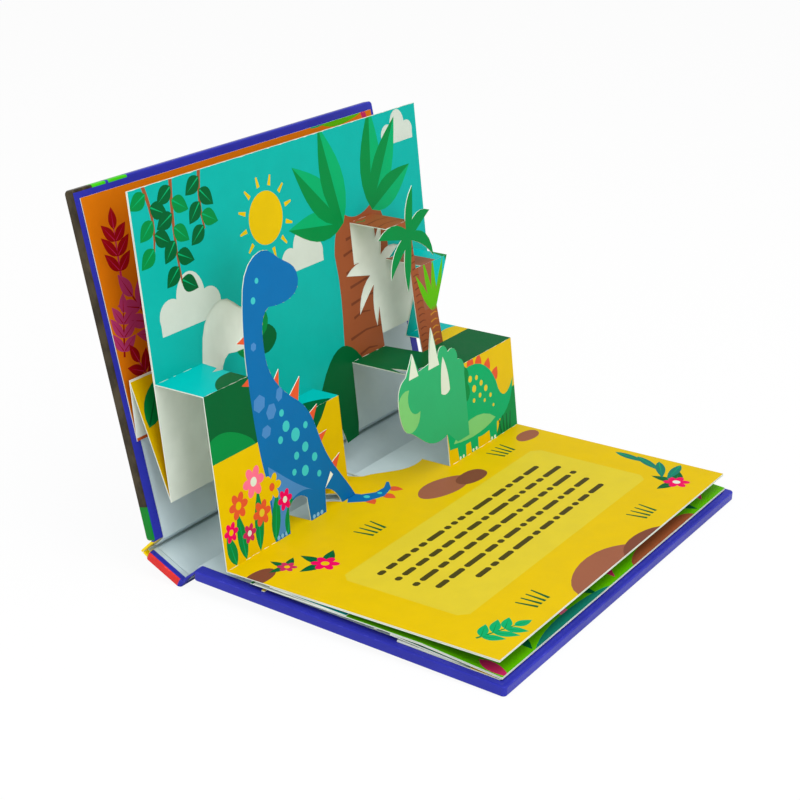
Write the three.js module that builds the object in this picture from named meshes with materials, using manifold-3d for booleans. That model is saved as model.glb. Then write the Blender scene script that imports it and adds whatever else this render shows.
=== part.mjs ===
import * as THREE from "three";
import { mergeVertices } from "three/addons/utils/BufferGeometryUtils.js";
import Module from "manifold-3d";

// A children's pop-up book with card spreads, standing open at its second spread.
// Millimetres. X runs along the gutter, -Y points to the reader and +Z is up.

// The card that every spread is folded from, and the glue line between two spreads.
const card = 0.4;
const glueLine = 0.2;
const pageWidth = 218;
const pageDepth = 165;

// The open spread. Its gutter line is at y = 0.
const gutterHeight = 14;
const pageLean = 6.5;

// The case: three boards, one printed wrap, and a lining.
const coverLength = 160;
const coverMargin = 3.5;
const coverThickness = 4.8;
const cornerRadius = 2;
const edgeRadius = 0.8;
const wrapThickness = 0.6;
const boardClearance = 0.3;
const turnIn = 6;
const jointThickness = 1.1;

// How the case stands: the lean of the front cover, and the slopes of the spine and the back cover.
const frontLean = 12.9;
const spineSlope = 26;
const spineWidth = 22;
const spineThickness = 4.4;
const spineFoot = { y: -1.6, z: -0.3 };
const backSlope = 2.28;
const backFoot = { y: -9.9, z: 6.35 };
const frontFoot = { y: 16.4, z: 18.1 };
const frontHinge = { y: 20.2, z: 12.2 };
const backHinge = { y: -5.8, z: 6.2 };

// A box is a strip of a spread that folds forward into a step. height is the step's height up
// page A, depth is its depth out on page B, and topStart and topEnd bound its top along X.
const leftBox = { height: 80.5, depth: 26.8, topStart: 0, topEnd: 32, frontStart: 0, frontEnd: 36 };
const middleBox = { height: 44.4, depth: 15.2, topStart: 78, topEnd: 108, frontStart: 78, frontEnd: 108 };
const rightBox = { height: 47.8, depth: 47.5, topStart: 142, topEnd: 218, frontStart: 151, frontEnd: 218 };

// Between the boxes the gutter is cut free: up page A and out on page B.
const slits = [
  { start: leftBox.topEnd - 1, end: middleBox.topStart + 1, up: 17, out: 2 },
  { start: middleBox.topEnd, end: middleBox.topEnd + 5.5, up: 24, out: 11 },
];

// The palm stands on the right box, tied to page A by a high top at the left and a low one at the
// right.
const palmDepth = 21.5;
const highTop = { height: 117, start: 152, end: 172 };
const lowTop = { height: 91.6, start: 180, end: 203.8 };
const trunkFoot = { start: 173.8, end: 193.2 };
const crownDrop = 8;
const crownInset = 19.5;

// Closed spreads. A ridge is where the step of a closed spread points to the fore-edge.
const firstSpread = {
  coverInset: 4.5,
  ridgeStandOff: 3.8,
  boxes: [
    { start: 0, end: 111.5, foldOnA: 46.8, foldOnB: 26, rise: 27.2 },
    { start: 112, end: 218, foldOnA: 52, foldOnB: 55, rise: 46 },
  ],
};
const thirdSpread = {
  bend: { y: -128, z: 10.2 },
  fore: { y: -166, z: 6.7 },
  gutter: { y: -1.5, z: 12.9 },
  boxes: [
    { start: 0, end: 99.6, foldOnA: 50, foldOnB: 40, ridge: 90 },
    { start: 100, end: 218, foldOnA: 64, foldOnB: 50, ridge: 114 },
  ],
};
const fourthSpread = {
  gutter: { y: -3, z: 11.85 },
  foreInset: 5,
  boxes: [
    { start: 0, end: 119.6, foldOnB: 46, ridge: 151 },
    { start: 120, end: 218, foldOnB: 50, ridge: 96 },
  ],
};
const layerGap = 0.2;
const coverGlue = 0.15;

// Colours, as sRGB.
const colours = {
  wrap: 0x3f3ca8,
  board: 0x9a8f80,
  lining: 0xaac0c6,
  firstCard: 0xd98a20,
  openCard: 0x19b4ac,
  thirdCard: 0x4fae3a,
  fourthCard: 0xe0c010,
};

const wasm = await Module();
wasm.setup();

const radians = THREE.MathUtils.degToRad;
const curveSteps = 6;

// Closed geometry to a solid that can be joined and cut, and back.
function solidOf(geometry) {
  const bare = geometry.clone();
  bare.deleteAttribute("normal");
  bare.deleteAttribute("uv");
  const merged = mergeVertices(bare, 1e-4);
  const vertProperties = merged.attributes.position.array;
  const triVerts = new Uint32Array(merged.index.array);
  return new wasm.Manifold(new wasm.Mesh({ numProp: 3, vertProperties, triVerts }));
}

// Slivers thinner than the tolerance, left where folds meet at a small angle, are closed up.
const tolerance = 0.02;

function geometryOf(solid) {
  const mesh = solid.simplify(tolerance).getMesh();
  const geometry = new THREE.BufferGeometry();
  geometry.setAttribute("position", new THREE.BufferAttribute(mesh.vertProperties, 3));
  geometry.setIndex(new THREE.BufferAttribute(mesh.triVerts, 1));
  const faceted = geometry.toNonIndexed();
  faceted.computeVertexNormals();
  return faceted;
}

function join(solids) {
  return solids.reduce((all, next) => all.add(next));
}

// Flat outlines, in (x, distance) on the card.
function rectangle(x0, x1, v0, v1) {
  const outline = new THREE.Shape();
  outline.moveTo(x0, v0);
  outline.lineTo(x1, v0);
  outline.lineTo(x1, v1);
  outline.lineTo(x0, v1);
  outline.closePath();
  return outline;
}

function roundedRectangle(x0, x1, v0, v1, radius) {
  const outline = new THREE.Shape();
  outline.moveTo(x0 + radius, v0);
  outline.lineTo(x1 - radius, v0);
  outline.absarc(x1 - radius, v0 + radius, radius, -Math.PI / 2, 0);
  outline.lineTo(x1, v1 - radius);
  outline.absarc(x1 - radius, v1 - radius, radius, 0, Math.PI / 2);
  outline.lineTo(x0 + radius, v1);
  outline.absarc(x0 + radius, v1 - radius, radius, Math.PI / 2, Math.PI);
  outline.lineTo(x0, v0 + radius);
  outline.absarc(x0 + radius, v0 + radius, radius, Math.PI, Math.PI * 1.5);
  return outline;
}

// A slab of the outline between two levels of its own Z.
function slab(outline, low, high) {
  const settings = { depth: high - low, bevelEnabled: false, curveSegments: curveSteps };
  const geometry = new THREE.ExtrudeGeometry(outline, settings);
  geometry.translate(0, 0, low);
  return solidOf(geometry);
}

// The animal on the left box stands on the bottom fold. Its neck and head rise above the top fold.
function longNeck() {
  const fold = leftBox.height;
  const outline = new THREE.Shape();
  outline.moveTo(35, -card);
  outline.lineTo(34, 30);
  outline.bezierCurveTo(31, 44, 30, 60.5, 30, fold);
  outline.bezierCurveTo(30, fold + 14, 31, fold + 26, 34, fold + 38);
  outline.bezierCurveTo(37, fold + 50, 50, fold + 56, 58, fold + 48);
  outline.bezierCurveTo(64, fold + 42, 73, fold + 42, 73, fold + 33);
  outline.bezierCurveTo(73, fold + 25, 60, fold + 24, 50, fold + 26);
  outline.bezierCurveTo(43, fold + 24, 43, fold + 14, 43.5, fold + 5);
  outline.bezierCurveTo(44, fold - 5, 52, fold - 14, 62, fold - 21);
  outline.bezierCurveTo(74, fold - 30, 73, 40, 79, 28);
  outline.bezierCurveTo(84, 18, 92, 10, 98, -card);
  outline.lineTo(87, -card);
  outline.bezierCurveTo(84, 6, 80, 10, 75, 11);
  outline.lineTo(74, -card);
  outline.lineTo(62, -card);
  outline.lineTo(61, 12);
  outline.quadraticCurveTo(54, 18, 47, 12);
  outline.lineTo(46, -card);
  outline.closePath();
  return [outline, ...backPlates()];
}

// Pointed plates along the neck and the back, each a triangle set on the outline.
function backPlates() {
  const fold = leftBox.height;
  const seats = [
    { x: 30.5, y: fold + 16, turn: 180, size: 6 },
    { x: 31, y: fold - 3, turn: 182, size: 6 },
    { x: 48, y: fold - 10, turn: 62, size: 9 },
    { x: 61, y: fold - 18, turn: 56, size: 10 },
    { x: 71, y: fold - 32, turn: 40, size: 8 },
    { x: 75, y: 36, turn: 22, size: 8 },
    { x: 84, y: 20, turn: 40, size: 8 },
  ];
  return seats.map((seat) => plate(seat));
}

function plate({ x, y, turn, size }) {
  const out = new THREE.Vector2(Math.cos(radians(turn)), Math.sin(radians(turn)));
  const along = new THREE.Vector2(-out.y, out.x);
  const middle = new THREE.Vector2(x, y);
  const corners = [
    middle.clone().addScaledVector(along, -size * 0.45).addScaledVector(out, -size * 0.5),
    middle.clone().addScaledVector(out, size * 0.85),
    middle.clone().addScaledVector(along, size * 0.45).addScaledVector(out, -size * 0.5),
  ];
  return new THREE.Shape(corners);
}

// The head of the animal on the right box is left of its panel, with horns above the top fold.
function hornedHead() {
  const fold = rightBox.height;
  const outline = new THREE.Shape();
  outline.moveTo(160, 10);
  outline.lineTo(152, 17);
  outline.bezierCurveTo(146, 15, 138, 15, 131, 20);
  outline.bezierCurveTo(124, 25, 121, 28, 117, 29);
  outline.bezierCurveTo(112, 32, 111, fold - 3, 113, fold + 2);
  outline.quadraticCurveTo(115, fold + 7, 120, fold + 8);
  outline.quadraticCurveTo(123, fold + 12, 127, fold + 18);
  outline.quadraticCurveTo(130, fold + 12, 131, fold + 8);
  outline.lineTo(141, fold + 9);
  outline.quadraticCurveTo(142, fold + 18, 145, fold + 26);
  outline.quadraticCurveTo(148, fold + 17, 148.5, fold + 10);
  outline.bezierCurveTo(150, fold + 16, 156, fold + 16, 158, fold + 10);
  outline.bezierCurveTo(162, fold + 13, 167, fold + 9, 166, fold + 4);
  outline.bezierCurveTo(170, fold + 4, 173, fold, 171, fold - 5);
  outline.lineTo(171, 10);
  outline.closePath();
  return [outline];
}

// One pointed leaf of the palm, arched to one side by bow.
function palmLeaf(from, tip, bow, width) {
  const along = new THREE.Vector2(tip.x - from.x, tip.y - from.y);
  const across = new THREE.Vector2(-along.y, along.x).normalize();
  const root = new THREE.Vector2(from.x, from.y);
  const middle = root.clone().addScaledVector(along, 0.55);
  const upper = middle.clone().addScaledVector(across, bow + width / 2);
  const lower = middle.clone().addScaledVector(across, bow - width / 2);
  const start = root.clone().addScaledVector(across, 2);
  const end = root.clone().addScaledVector(across, -2);
  const outline = new THREE.Shape();
  outline.moveTo(end.x, end.y);
  outline.quadraticCurveTo(lower.x, lower.y, tip.x, tip.y);
  outline.quadraticCurveTo(upper.x, upper.y, start.x, start.y);
  outline.closePath();
  return outline;
}

const crown = { x: highTop.start + crownInset, y: highTop.height - crownDrop };
const palmLeaves = [
  { turn: 75, length: 25, bow: 3, width: 10 },
  { turn: 24, length: 22, bow: 5, width: 11 },
  { turn: -36, length: 25, bow: 8, width: 10 },
  { turn: 172, length: 27, bow: -5, width: 12 },
  { turn: 224, length: 26, bow: -5, width: 10 },
  { turn: 260, length: 28, bow: -2, width: 9 },
];

// The card that carries the palm: a trunk, a web up to the fold of each top, and grass.
function palmCard() {
  const foot = rightBox.height - card;
  const trunk = new THREE.Shape();
  trunk.moveTo(trunkFoot.start, foot);
  trunk.lineTo(trunkFoot.end, foot);
  trunk.lineTo(trunkFoot.end - 2.8, foot + 21);
  trunk.lineTo(lowTop.end, lowTop.height);
  trunk.lineTo(crown.x + 3, lowTop.height);
  trunk.lineTo(crown.x + 2, crown.y);
  trunk.lineTo(crown.x - 2, crown.y);
  trunk.quadraticCurveTo(crown.x - 2, foot + 24, trunkFoot.start, foot);
  const web = new THREE.Shape();
  web.moveTo(crown.x + 1, crown.y - 2);
  web.lineTo(crown.x + 0.5, highTop.height);
  web.lineTo(highTop.start + 4, highTop.height);
  web.quadraticCurveTo(crown.x - 9, highTop.height - 4, crown.x - 3, crown.y - 3);
  return [trunk, web];
}

function palmOutlines() {
  const leaves = palmLeaves.map(({ turn, length, bow, width }) => {
    const angle = radians(turn);
    const tip = { x: crown.x + length * Math.cos(angle), y: crown.y + length * Math.sin(angle) };
    return palmLeaf(crown, tip, bow, width);
  });
  return [...palmCard(), ...leaves];
}

// A flat panel of card with its printed face at local z = 0: outlines joined, then others cut away.
function panel(added, cut = [], behind = 0) {
  const low = -behind - card;
  const whole = join(added.map((outline) => slab(outline, low, -behind)));
  return cut.reduce((left, outline) => left.subtract(slab(outline, low - 1, 1 - behind)), whole);
}

// Places a panel: local X stays X, and local Y points from the given point at an angle above +Y.
function placed(solid, point, angle) {
  const matrix = new THREE.Matrix4().makeRotationX(radians(angle));
  matrix.setPosition(0, point.y, point.z);
  return solid.transform(matrix.toArray());
}

// The same outlines moved along the card, for the hole that a raised figure leaves behind.
function moved(outlines, distance) {
  return outlines.map((outline) => {
    const points = outline.getPoints(curveSteps);
    return new THREE.Shape(points.map((p) => new THREE.Vector2(p.x, p.y + distance)));
  });
}

// Directions in the open spread: up page A, and out on page B.
const up = { y: Math.sin(radians(pageLean)), z: Math.cos(radians(pageLean)) };
const upAngle = 90 - pageLean;
const outAngle = 180;
const gutter = { y: 0, z: gutterHeight };

// A point of the open spread: so far up page A and so far out along page B.
function spreadPoint(upward, outward) {
  return { y: gutter.y + up.y * upward - outward, z: gutter.z + up.z * upward };
}

// The card that a box's front folds forward out of: from the gutter to the given reach.
function windows(reach) {
  return [leftBox, middleBox, rightBox].map((box) => reach(box));
}

function pageA(neck, head, palm) {
  const steps = windows((box) => rectangle(box.topStart - 1e-3, box.topEnd, -2, box.height - card));
  const ties = [
    rectangle(highTop.start, highTop.end, highTop.height - palmDepth, highTop.height - card),
    rectangle(highTop.end - 2, lowTop.end, lowTop.height - palmDepth, lowTop.height - card),
  ];
  return panel(
    [rectangle(0, pageWidth, -card, pageDepth)],
    [
      ...steps,
      ...ties,
      ...slits.map((slit) => rectangle(slit.start, slit.end, -2, slit.up)),
      ...moved(neck, -leftBox.depth),
      ...moved(head, -rightBox.depth),
      ...moved(palm, -palmDepth),
    ],
  );
}

// A panel that lies flat is drawn from its fore side, at local y = 0, towards the gutter.
function pageB(neck, head) {
  const steps = windows((box) => {
    const reach = pageDepth - box.depth + card;
    return rectangle(box.frontStart - 1e-3, box.frontEnd, reach, pageDepth + 2);
  });
  return panel(
    [rectangle(0, pageWidth, 0, pageDepth + card)],
    [
      ...steps,
      ...slits.map((slit) => rectangle(slit.start, slit.end, pageDepth - slit.out, pageDepth + 2)),
      ...moved(neck, pageDepth - leftBox.depth),
      ...moved(head, pageDepth - rightBox.depth),
    ],
  );
}

// A box top runs from its front fold back to page A.
function boxTop(box, holes) {
  const outline = rectangle(box.topStart, box.topEnd, 0, box.depth + card);
  return placed(panel([outline], holes), spreadPoint(box.height, box.depth), 0);
}

function boxFront(box, figure, holes) {
  const outline = rectangle(box.frontStart, box.frontEnd, -card, box.height);
  return placed(panel([outline, ...figure], holes), spreadPoint(0, box.depth), upAngle);
}

// The open spread: one die-cut sheet. Where a figure is cut, the panel behind it has its hole.
function openSpread() {
  const neck = longNeck();
  const head = hornedHead();
  const palm = palmOutlines();
  const palmFoot = rightBox.depth - palmDepth - rightBox.height + 2 * card;
  const tops = [highTop, lowTop].map((top) => {
    const outline = rectangle(top.start, top.end, 0, palmDepth + card);
    return placed(panel([outline]), spreadPoint(top.height, palmDepth), 0);
  });
  return join([
    placed(pageA(neck, head, palm), gutter, upAngle),
    placed(pageB(neck, head), spreadPoint(0, pageDepth), 0),
    boxTop(leftBox, moved(neck, -leftBox.height)),
    boxFront(leftBox, neck, []),
    boxTop(middleBox, []),
    boxFront(middleBox, [], moved(neck, middleBox.depth - leftBox.depth)),
    boxTop(rightBox, [...moved(head, -rightBox.height), ...moved([palm[0]], palmFoot)]),
    boxFront(rightBox, head, []),
    ...tops,
    placed(panel(palm), spreadPoint(0, palmDepth), upAngle),
  ]);
}

// A panel of card between two points of the cross-section, printed face on the left of the way from
// the first to the second. At an outer fold it is lengthened by the card, so that the fold closes.
// Where it runs into another panel at a small angle it ends a little sooner, inside that panel.
const soon = -1;

function strip(from, to, start, end, lead = card, tail = card) {
  const length = Math.hypot(to.y - from.y, to.z - from.z);
  const angle = THREE.MathUtils.radToDeg(Math.atan2(to.z - from.z, to.y - from.y));
  return placed(panel([rectangle(start, end, -lead, length + tail)]), from, angle);
}

const leaf = 2 * card + glueLine;

// A point on the inside of the front cover: so far up from its foot, and so far in front of it.
function frontPoint(upward, inFront) {
  const lean = radians(frontLean);
  const across = coverThickness + inFront;
  return {
    y: frontFoot.y + Math.sin(lean) * upward - Math.cos(lean) * across,
    z: frontFoot.z + Math.cos(lean) * upward + Math.sin(lean) * across,
  };
}

// The first spread, nearly closed between the front cover and the open spread.
function frontSpread() {
  const face = boardClearance + card;
  const top = coverLength - firstSpread.coverInset;
  const parts = [];
  const backing = boxWindows(firstSpread.boxes, (box) => box.foldOnB - card);
  const pageB = panel([rectangle(0, pageWidth, 0, pageDepth)], backing, card + glueLine);
  parts.push(placed(pageB, gutter, upAngle));
  for (const box of firstSpread.boxes) {
    const fold = frontPoint(box.foldOnA, face);
    const ridge = frontPoint(box.foldOnA + box.rise, face + firstSpread.ridgeStandOff);
    const foot = spreadPoint(box.foldOnB, 0);
    const glued = leaf - card;
    const behind = { y: foot.y + glued * up.z, z: foot.z - glued * up.y };
    parts.push(strip(fold, frontPoint(top, face), box.start, box.end));
    parts.push(strip(fold, ridge, box.start, box.end, soon));
    parts.push(strip(behind, ridge, box.start, box.end, soon, soon / 2));
  }
  const bridgeLow = frontPoint(firstSpread.boxes[1].foldOnA + 2, face);
  parts.push(strip(bridgeLow, frontPoint(top, face), 0, pageWidth));
  return join(parts);
}

// A window begins with its box, and runs past the side of the sheet where the box does.
function windowStart(box) {
  return box.start > 0 ? box.start : -1;
}

function windowEnd(box) {
  return box.end < pageWidth ? box.end : pageWidth + 1;
}

function boxWindows(boxes, reach) {
  return boxes.map((box) => rectangle(windowStart(box), windowEnd(box), -2, reach(box)));
}

// A point under the open spread's page B, so far out from the gutter and so far below its print.
function underPoint(outward, below) {
  return { y: -outward, z: gutter.z - below };
}

// A point on page 3B's print, which bends down towards the fore-edge.
function thirdPoint(outward, above = 0) {
  const { gutter: start, bend, fore } = thirdSpread;
  const y = -outward;
  const [from, to] = y > bend.y ? [start, bend] : [bend, fore];
  const share = (y - from.y) / (to.y - from.y);
  return { y, z: from.z + (to.z - from.z) * share + above };
}

function thirdSheet() {
  const { boxes } = thirdSpread;
  const parts = [];
  const windows = boxes.map((box) => {
    return rectangle(windowStart(box), windowEnd(box), pageDepth - box.foldOnA, pageDepth + 2);
  });
  const pageA = panel([rectangle(0, pageWidth, 0, pageDepth + card)], windows, card + glueLine);
  parts.push(placed(pageA, spreadPoint(0, pageDepth), 0));
  const foldStart = thirdPoint(-thirdSpread.gutter.y);
  const near = strip(thirdPoint(-thirdSpread.bend.y), foldStart, 0, pageWidth);
  const gaps = boxes.map((box) => {
    return slab(rectangle(windowStart(box), windowEnd(box), -box.foldOnB + card, 2), -2, 30);
  });
  parts.push(gaps.reduce((left, gap) => left.subtract(gap), near));
  parts.push(strip(thirdSpread.fore, thirdPoint(-thirdSpread.bend.y), 0, pageWidth));
  for (const box of boxes) {
    const backFold = underPoint(box.foldOnA, leaf - card);
    const ridge = thirdPoint(box.ridge, layerGap + card);
    const frontFold = thirdPoint(box.foldOnB);
    parts.push(strip(ridge, backFold, box.start, box.end, card, soon));
    parts.push(strip(ridge, frontFold, box.start, box.end, soon, soon));
  }
  return join(parts);
}

// A point on the back cover: so far out from its gutter edge, and so far above its outer face.
function backPoint(outward, above) {
  const slope = radians(backSlope);
  return {
    y: backFoot.y - Math.cos(slope) * outward - Math.sin(slope) * above,
    z: backFoot.z - Math.sin(slope) * outward + Math.cos(slope) * above,
  };
}

// The last spread: page 4A under page 3B, and page 4B on the back cover.
function fourthSheet() {
  const { boxes, gutter: start } = fourthSpread;
  const print = coverThickness + coverGlue + card;
  const hung = glueLine + card;
  const parts = [];
  const bend = -thirdSpread.bend.y;
  const fore = -thirdSpread.fore.y;
  const hungStart = thirdPoint(-start.y, -hung);
  const near = strip(thirdPoint(bend, -hung), hungStart, 0, pageWidth);
  const far = strip(thirdPoint(fore, -hung), thirdPoint(bend, -hung), 0, pageWidth);
  const rest = strip(backPoint(coverLength - fourthSpread.foreInset, print), backPoint(0, print), 0, pageWidth);
  const lead = strip(backPoint(0, print), start, 0, pageWidth);
  const pageA = boxes.reduce((left, box) => {
    const reach = box.ridge - box.foldOnB;
    return left.subtract(gutterSlot(box, reach));
  }, join([near, far]));
  const pageB = boxes.reduce((left, box) => left.subtract(gutterSlot(box, box.foldOnB)), join([rest, lead]));
  parts.push(pageA, pageB);
  for (const box of boxes) {
    const alongCover = box.ridge + backFoot.y;
    const ridge = backPoint(alongCover, print + layerGap + card);
    const backFold = thirdPoint(box.ridge - box.foldOnB, -hung);
    const frontFold = backPoint(box.foldOnB + backFoot.y, print);
    parts.push(strip(ridge, backFold, box.start, box.end, card, soon));
    parts.push(strip(ridge, frontFold, box.start, box.end, soon, soon));
  }
  return join(parts);
}

// The opening that a step leaves in a page, from the gutter out to a fold.
function gutterSlot(box, reach) {
  return slab(rectangle(windowStart(box), windowEnd(box), -reach + card, 4), -2, 30);
}

// A bent strip of even thickness along a line of points in the cross-section.
function ribbon(points, thickness, start, end) {
  const path = points.map((p) => new THREE.Vector2(p.y, p.z));
  const side = path.map((point, i) => {
    const before = point.clone().sub(path[Math.max(i - 1, 0)]);
    const after = path[Math.min(i + 1, path.length - 1)].clone().sub(point);
    const first = (i === 0 ? after : before).clone().normalize();
    const second = (i === path.length - 1 ? before : after).clone().normalize();
    const across = new THREE.Vector2(-first.y - second.y, first.x + second.x).normalize();
    const cosine = across.dot(new THREE.Vector2(-first.y, first.x));
    return across.multiplyScalar(thickness / 2 / cosine);
  });
  const left = path.map((point, i) => point.clone().add(side[i]));
  const right = path.map((point, i) => point.clone().sub(side[i]));
  return crossSection(new THREE.Shape([...right, ...left.reverse()]), start, end);
}

function rod(centre, radius, start, end) {
  const outline = new THREE.Shape();
  outline.absarc(centre.y, centre.z, radius, 0, Math.PI * 2);
  return crossSection(outline, start, end);
}

// A shape drawn in (y, z) and carried along X.
function crossSection(outline, start, end) {
  const basis = new THREE.Matrix4().makeBasis(
    new THREE.Vector3(0, 1, 0),
    new THREE.Vector3(0, 0, 1),
    new THREE.Vector3(1, 0, 0),
  );
  return slab(outline, start, end).transform(basis.toArray());
}

// The pieces of a board in cloth, drawn with the gutter edge at local y = 0 and the outer face at
// local z = 0.
const caseStart = -coverMargin;
const caseEnd = pageWidth + coverMargin;

function roundedPlate(length, thickness) {
  const settings = {
    depth: thickness - 2 * edgeRadius,
    bevelThickness: edgeRadius,
    bevelSize: edgeRadius,
    bevelOffset: -edgeRadius,
    bevelSegments: 3,
    curveSegments: curveSteps,
  };
  const outline = roundedRectangle(caseStart, caseEnd, 0, length, cornerRadius);
  const geometry = new THREE.ExtrudeGeometry(outline, settings);
  geometry.translate(0, 0, edgeRadius);
  return solidOf(geometry);
}

function inset(length, thickness, distance) {
  const start = caseStart + distance;
  const end = caseEnd - distance;
  const radius = cornerRadius - distance;
  const outline = roundedRectangle(start, end, distance, length - distance, radius);
  return slab(outline, distance, thickness - distance);
}

function board(length, thickness) {
  return inset(length, thickness, wrapThickness + boardClearance);
}

function wrapping(length, thickness, windowEnd) {
  const around = roundedPlate(length, thickness).subtract(inset(length, thickness, wrapThickness));
  const opening = rectangle(caseStart + turnIn, caseEnd - turnIn, -1, windowEnd);
  return around.subtract(slab(opening, thickness - wrapThickness - 0.2, thickness + 1));
}

function liningFlat(thickness, from, to) {
  const inside = turnIn + boardClearance;
  const outline = rectangle(caseStart + inside, caseEnd - inside, from, to);
  return slab(outline, thickness - wrapThickness, thickness);
}

// Where the pieces of the case stand.
function onFront(solid) {
  return placed(solid, frontFoot, 90 - frontLean);
}

function onSpine(solid) {
  return placed(solid, spineFoot, spineSlope);
}

function onBack(solid) {
  const slope = radians(backSlope);
  const matrix = new THREE.Matrix4().makeBasis(
    new THREE.Vector3(1, 0, 0),
    new THREE.Vector3(0, -Math.cos(slope), -Math.sin(slope)),
    new THREE.Vector3(0, -Math.sin(slope), Math.cos(slope)),
  );
  matrix.setPosition(0, backFoot.y, backFoot.z);
  return solid.transform(matrix.toArray());
}

function between(from, to, share) {
  return { y: from.y + (to.y - from.y) * share, z: from.z + (to.z - from.z) * share };
}

// A joint strip runs from the gutter edge of a cover to its hinge, and ends in a bead.
function jointStrip(edge, hinge) {
  const start = caseStart + edgeRadius;
  const end = caseEnd - edgeRadius;
  const bead = rod(hinge, jointThickness / 2, start, end);
  return ribbon([edge, hinge], jointThickness, start, end).add(bead);
}

// The spine's side of a hinge: a short flange that stops just short of the bead.
function flange(edge, hinge) {
  const reach = Math.hypot(hinge.y - edge.y, hinge.z - edge.z);
  const stop = between(edge, hinge, 1 - (jointThickness / 2 + boardClearance) / reach);
  return ribbon([edge, stop], jointThickness, caseStart + edgeRadius, caseEnd - edgeRadius);
}

function spinePoint(along, above) {
  const slope = radians(spineSlope);
  return {
    y: spineFoot.y + Math.cos(slope) * along - Math.sin(slope) * above,
    z: spineFoot.z + Math.sin(slope) * along + Math.cos(slope) * above,
  };
}

const jointRise = 1.2;
const frontEdge = frontPoint(0.3, -jointRise);
const backEdge = backPoint(0.3, coverThickness - jointRise);

// The lining turns at the gutter edge of the cover and follows the inner side of the joint strip.
function jointLining(flat, corner, edge, hinge, side) {
  const reach = Math.hypot(hinge.y - edge.y, hinge.z - edge.z);
  const away = (jointThickness + wrapThickness) / 2 + 0.3;
  const last = between(edge, hinge, 0.66);
  const end = {
    y: last.y - ((hinge.z - edge.z) / reach) * away * side,
    z: last.z + ((hinge.y - edge.y) / reach) * away * side,
  };
  const points = [flat, corner, end];
  const inside = turnIn + boardClearance;
  return ribbon(points, wrapThickness, caseStart + inside, caseEnd - inside);
}

function frontWrap() {
  const wrap = onFront(wrapping(coverLength, coverThickness, coverLength - turnIn));
  return wrap.add(jointStrip(frontEdge, frontHinge));
}

function backWrap() {
  const wrap = onBack(wrapping(coverLength, coverThickness, coverLength - turnIn));
  return wrap.add(jointStrip(backEdge, backHinge));
}

function spineWrap() {
  const wrap = onSpine(wrapping(spineWidth, spineThickness, spineWidth + 1));
  const high = flange(spinePoint(spineWidth - 0.3, 1.4), frontHinge);
  const low = flange(spinePoint(0.3, 2.2), backHinge);
  return join([wrap, high, low]);
}

function frontLining() {
  const flat = liningFlat(coverThickness, 0.6, coverLength - turnIn - boardClearance);
  const start = frontPoint(2, -wrapThickness / 2);
  const corner = frontPoint(-0.45, -wrapThickness / 2 - 0.05);
  return onFront(flat).add(jointLining(start, corner, frontEdge, frontHinge, -1));
}

function backLining() {
  const flat = liningFlat(coverThickness, 0.6, coverLength - turnIn - boardClearance);
  const start = backPoint(2, coverThickness - wrapThickness / 2);
  const corner = backPoint(-0.45, coverThickness - wrapThickness / 2 - 0.05);
  return onBack(flat).add(jointLining(start, corner, backEdge, backHinge, 1));
}

const pieces = [
  ["spine_board", () => onSpine(board(spineWidth, spineThickness)), colours.board],
  ["spine_wrap", spineWrap, colours.wrap],
  ["spine_lining", () => onSpine(liningFlat(spineThickness, 1, spineWidth - 1)), colours.lining],
  ["front_board", () => onFront(board(coverLength, coverThickness)), colours.board],
  ["front_wrap", frontWrap, colours.wrap],
  ["front_lining", frontLining, colours.lining],
  ["back_board", () => onBack(board(coverLength, coverThickness)), colours.board],
  ["back_wrap", backWrap, colours.wrap],
  ["back_lining", backLining, colours.lining],
  ["spread_1", frontSpread, colours.firstCard],
  ["spread_2", openSpread, colours.openCard],
  ["spread_3", thirdSheet, colours.thirdCard],
  ["spread_4", fourthSheet, colours.fourthCard],
];

const book = new THREE.Group();
book.name = "pop_up_book";

for (const [name, build, colour] of pieces) {
  const material = new THREE.MeshStandardMaterial({ color: colour, roughness: 0.45, metalness: 0 });
  const mesh = new THREE.Mesh(geometryOf(build()), material);
  mesh.name = name;
  book.add(mesh);
}

// The frame's origin is the middle of the footprint, on the table.
const bounds = new THREE.Box3().setFromObject(book);
const middle = bounds.getCenter(new THREE.Vector3());
book.children.forEach((mesh) => mesh.geometry.translate(-middle.x, -middle.y, -bounds.min.z));

export default book;
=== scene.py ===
# %% [markdown]
# # A pop-up book, standing open
# The book is a case of boards under a laminated wrap, with four folded and die-cut sheets inside. The solids come
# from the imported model, so every sheet and board is already in its place. What is left to make here is what a
# printer and a binder add: ink on the card, film on the cover, paper on the boards, and the light to see them in.
# Loading the frame comes first, and its box is kept, because the finished book may not outgrow it.

# %% Load the frame
import math
import random

import bmesh
import bpy
from mathutils import Matrix, Vector
from mathutils.geometry import delaunay_2d_cdt


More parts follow.
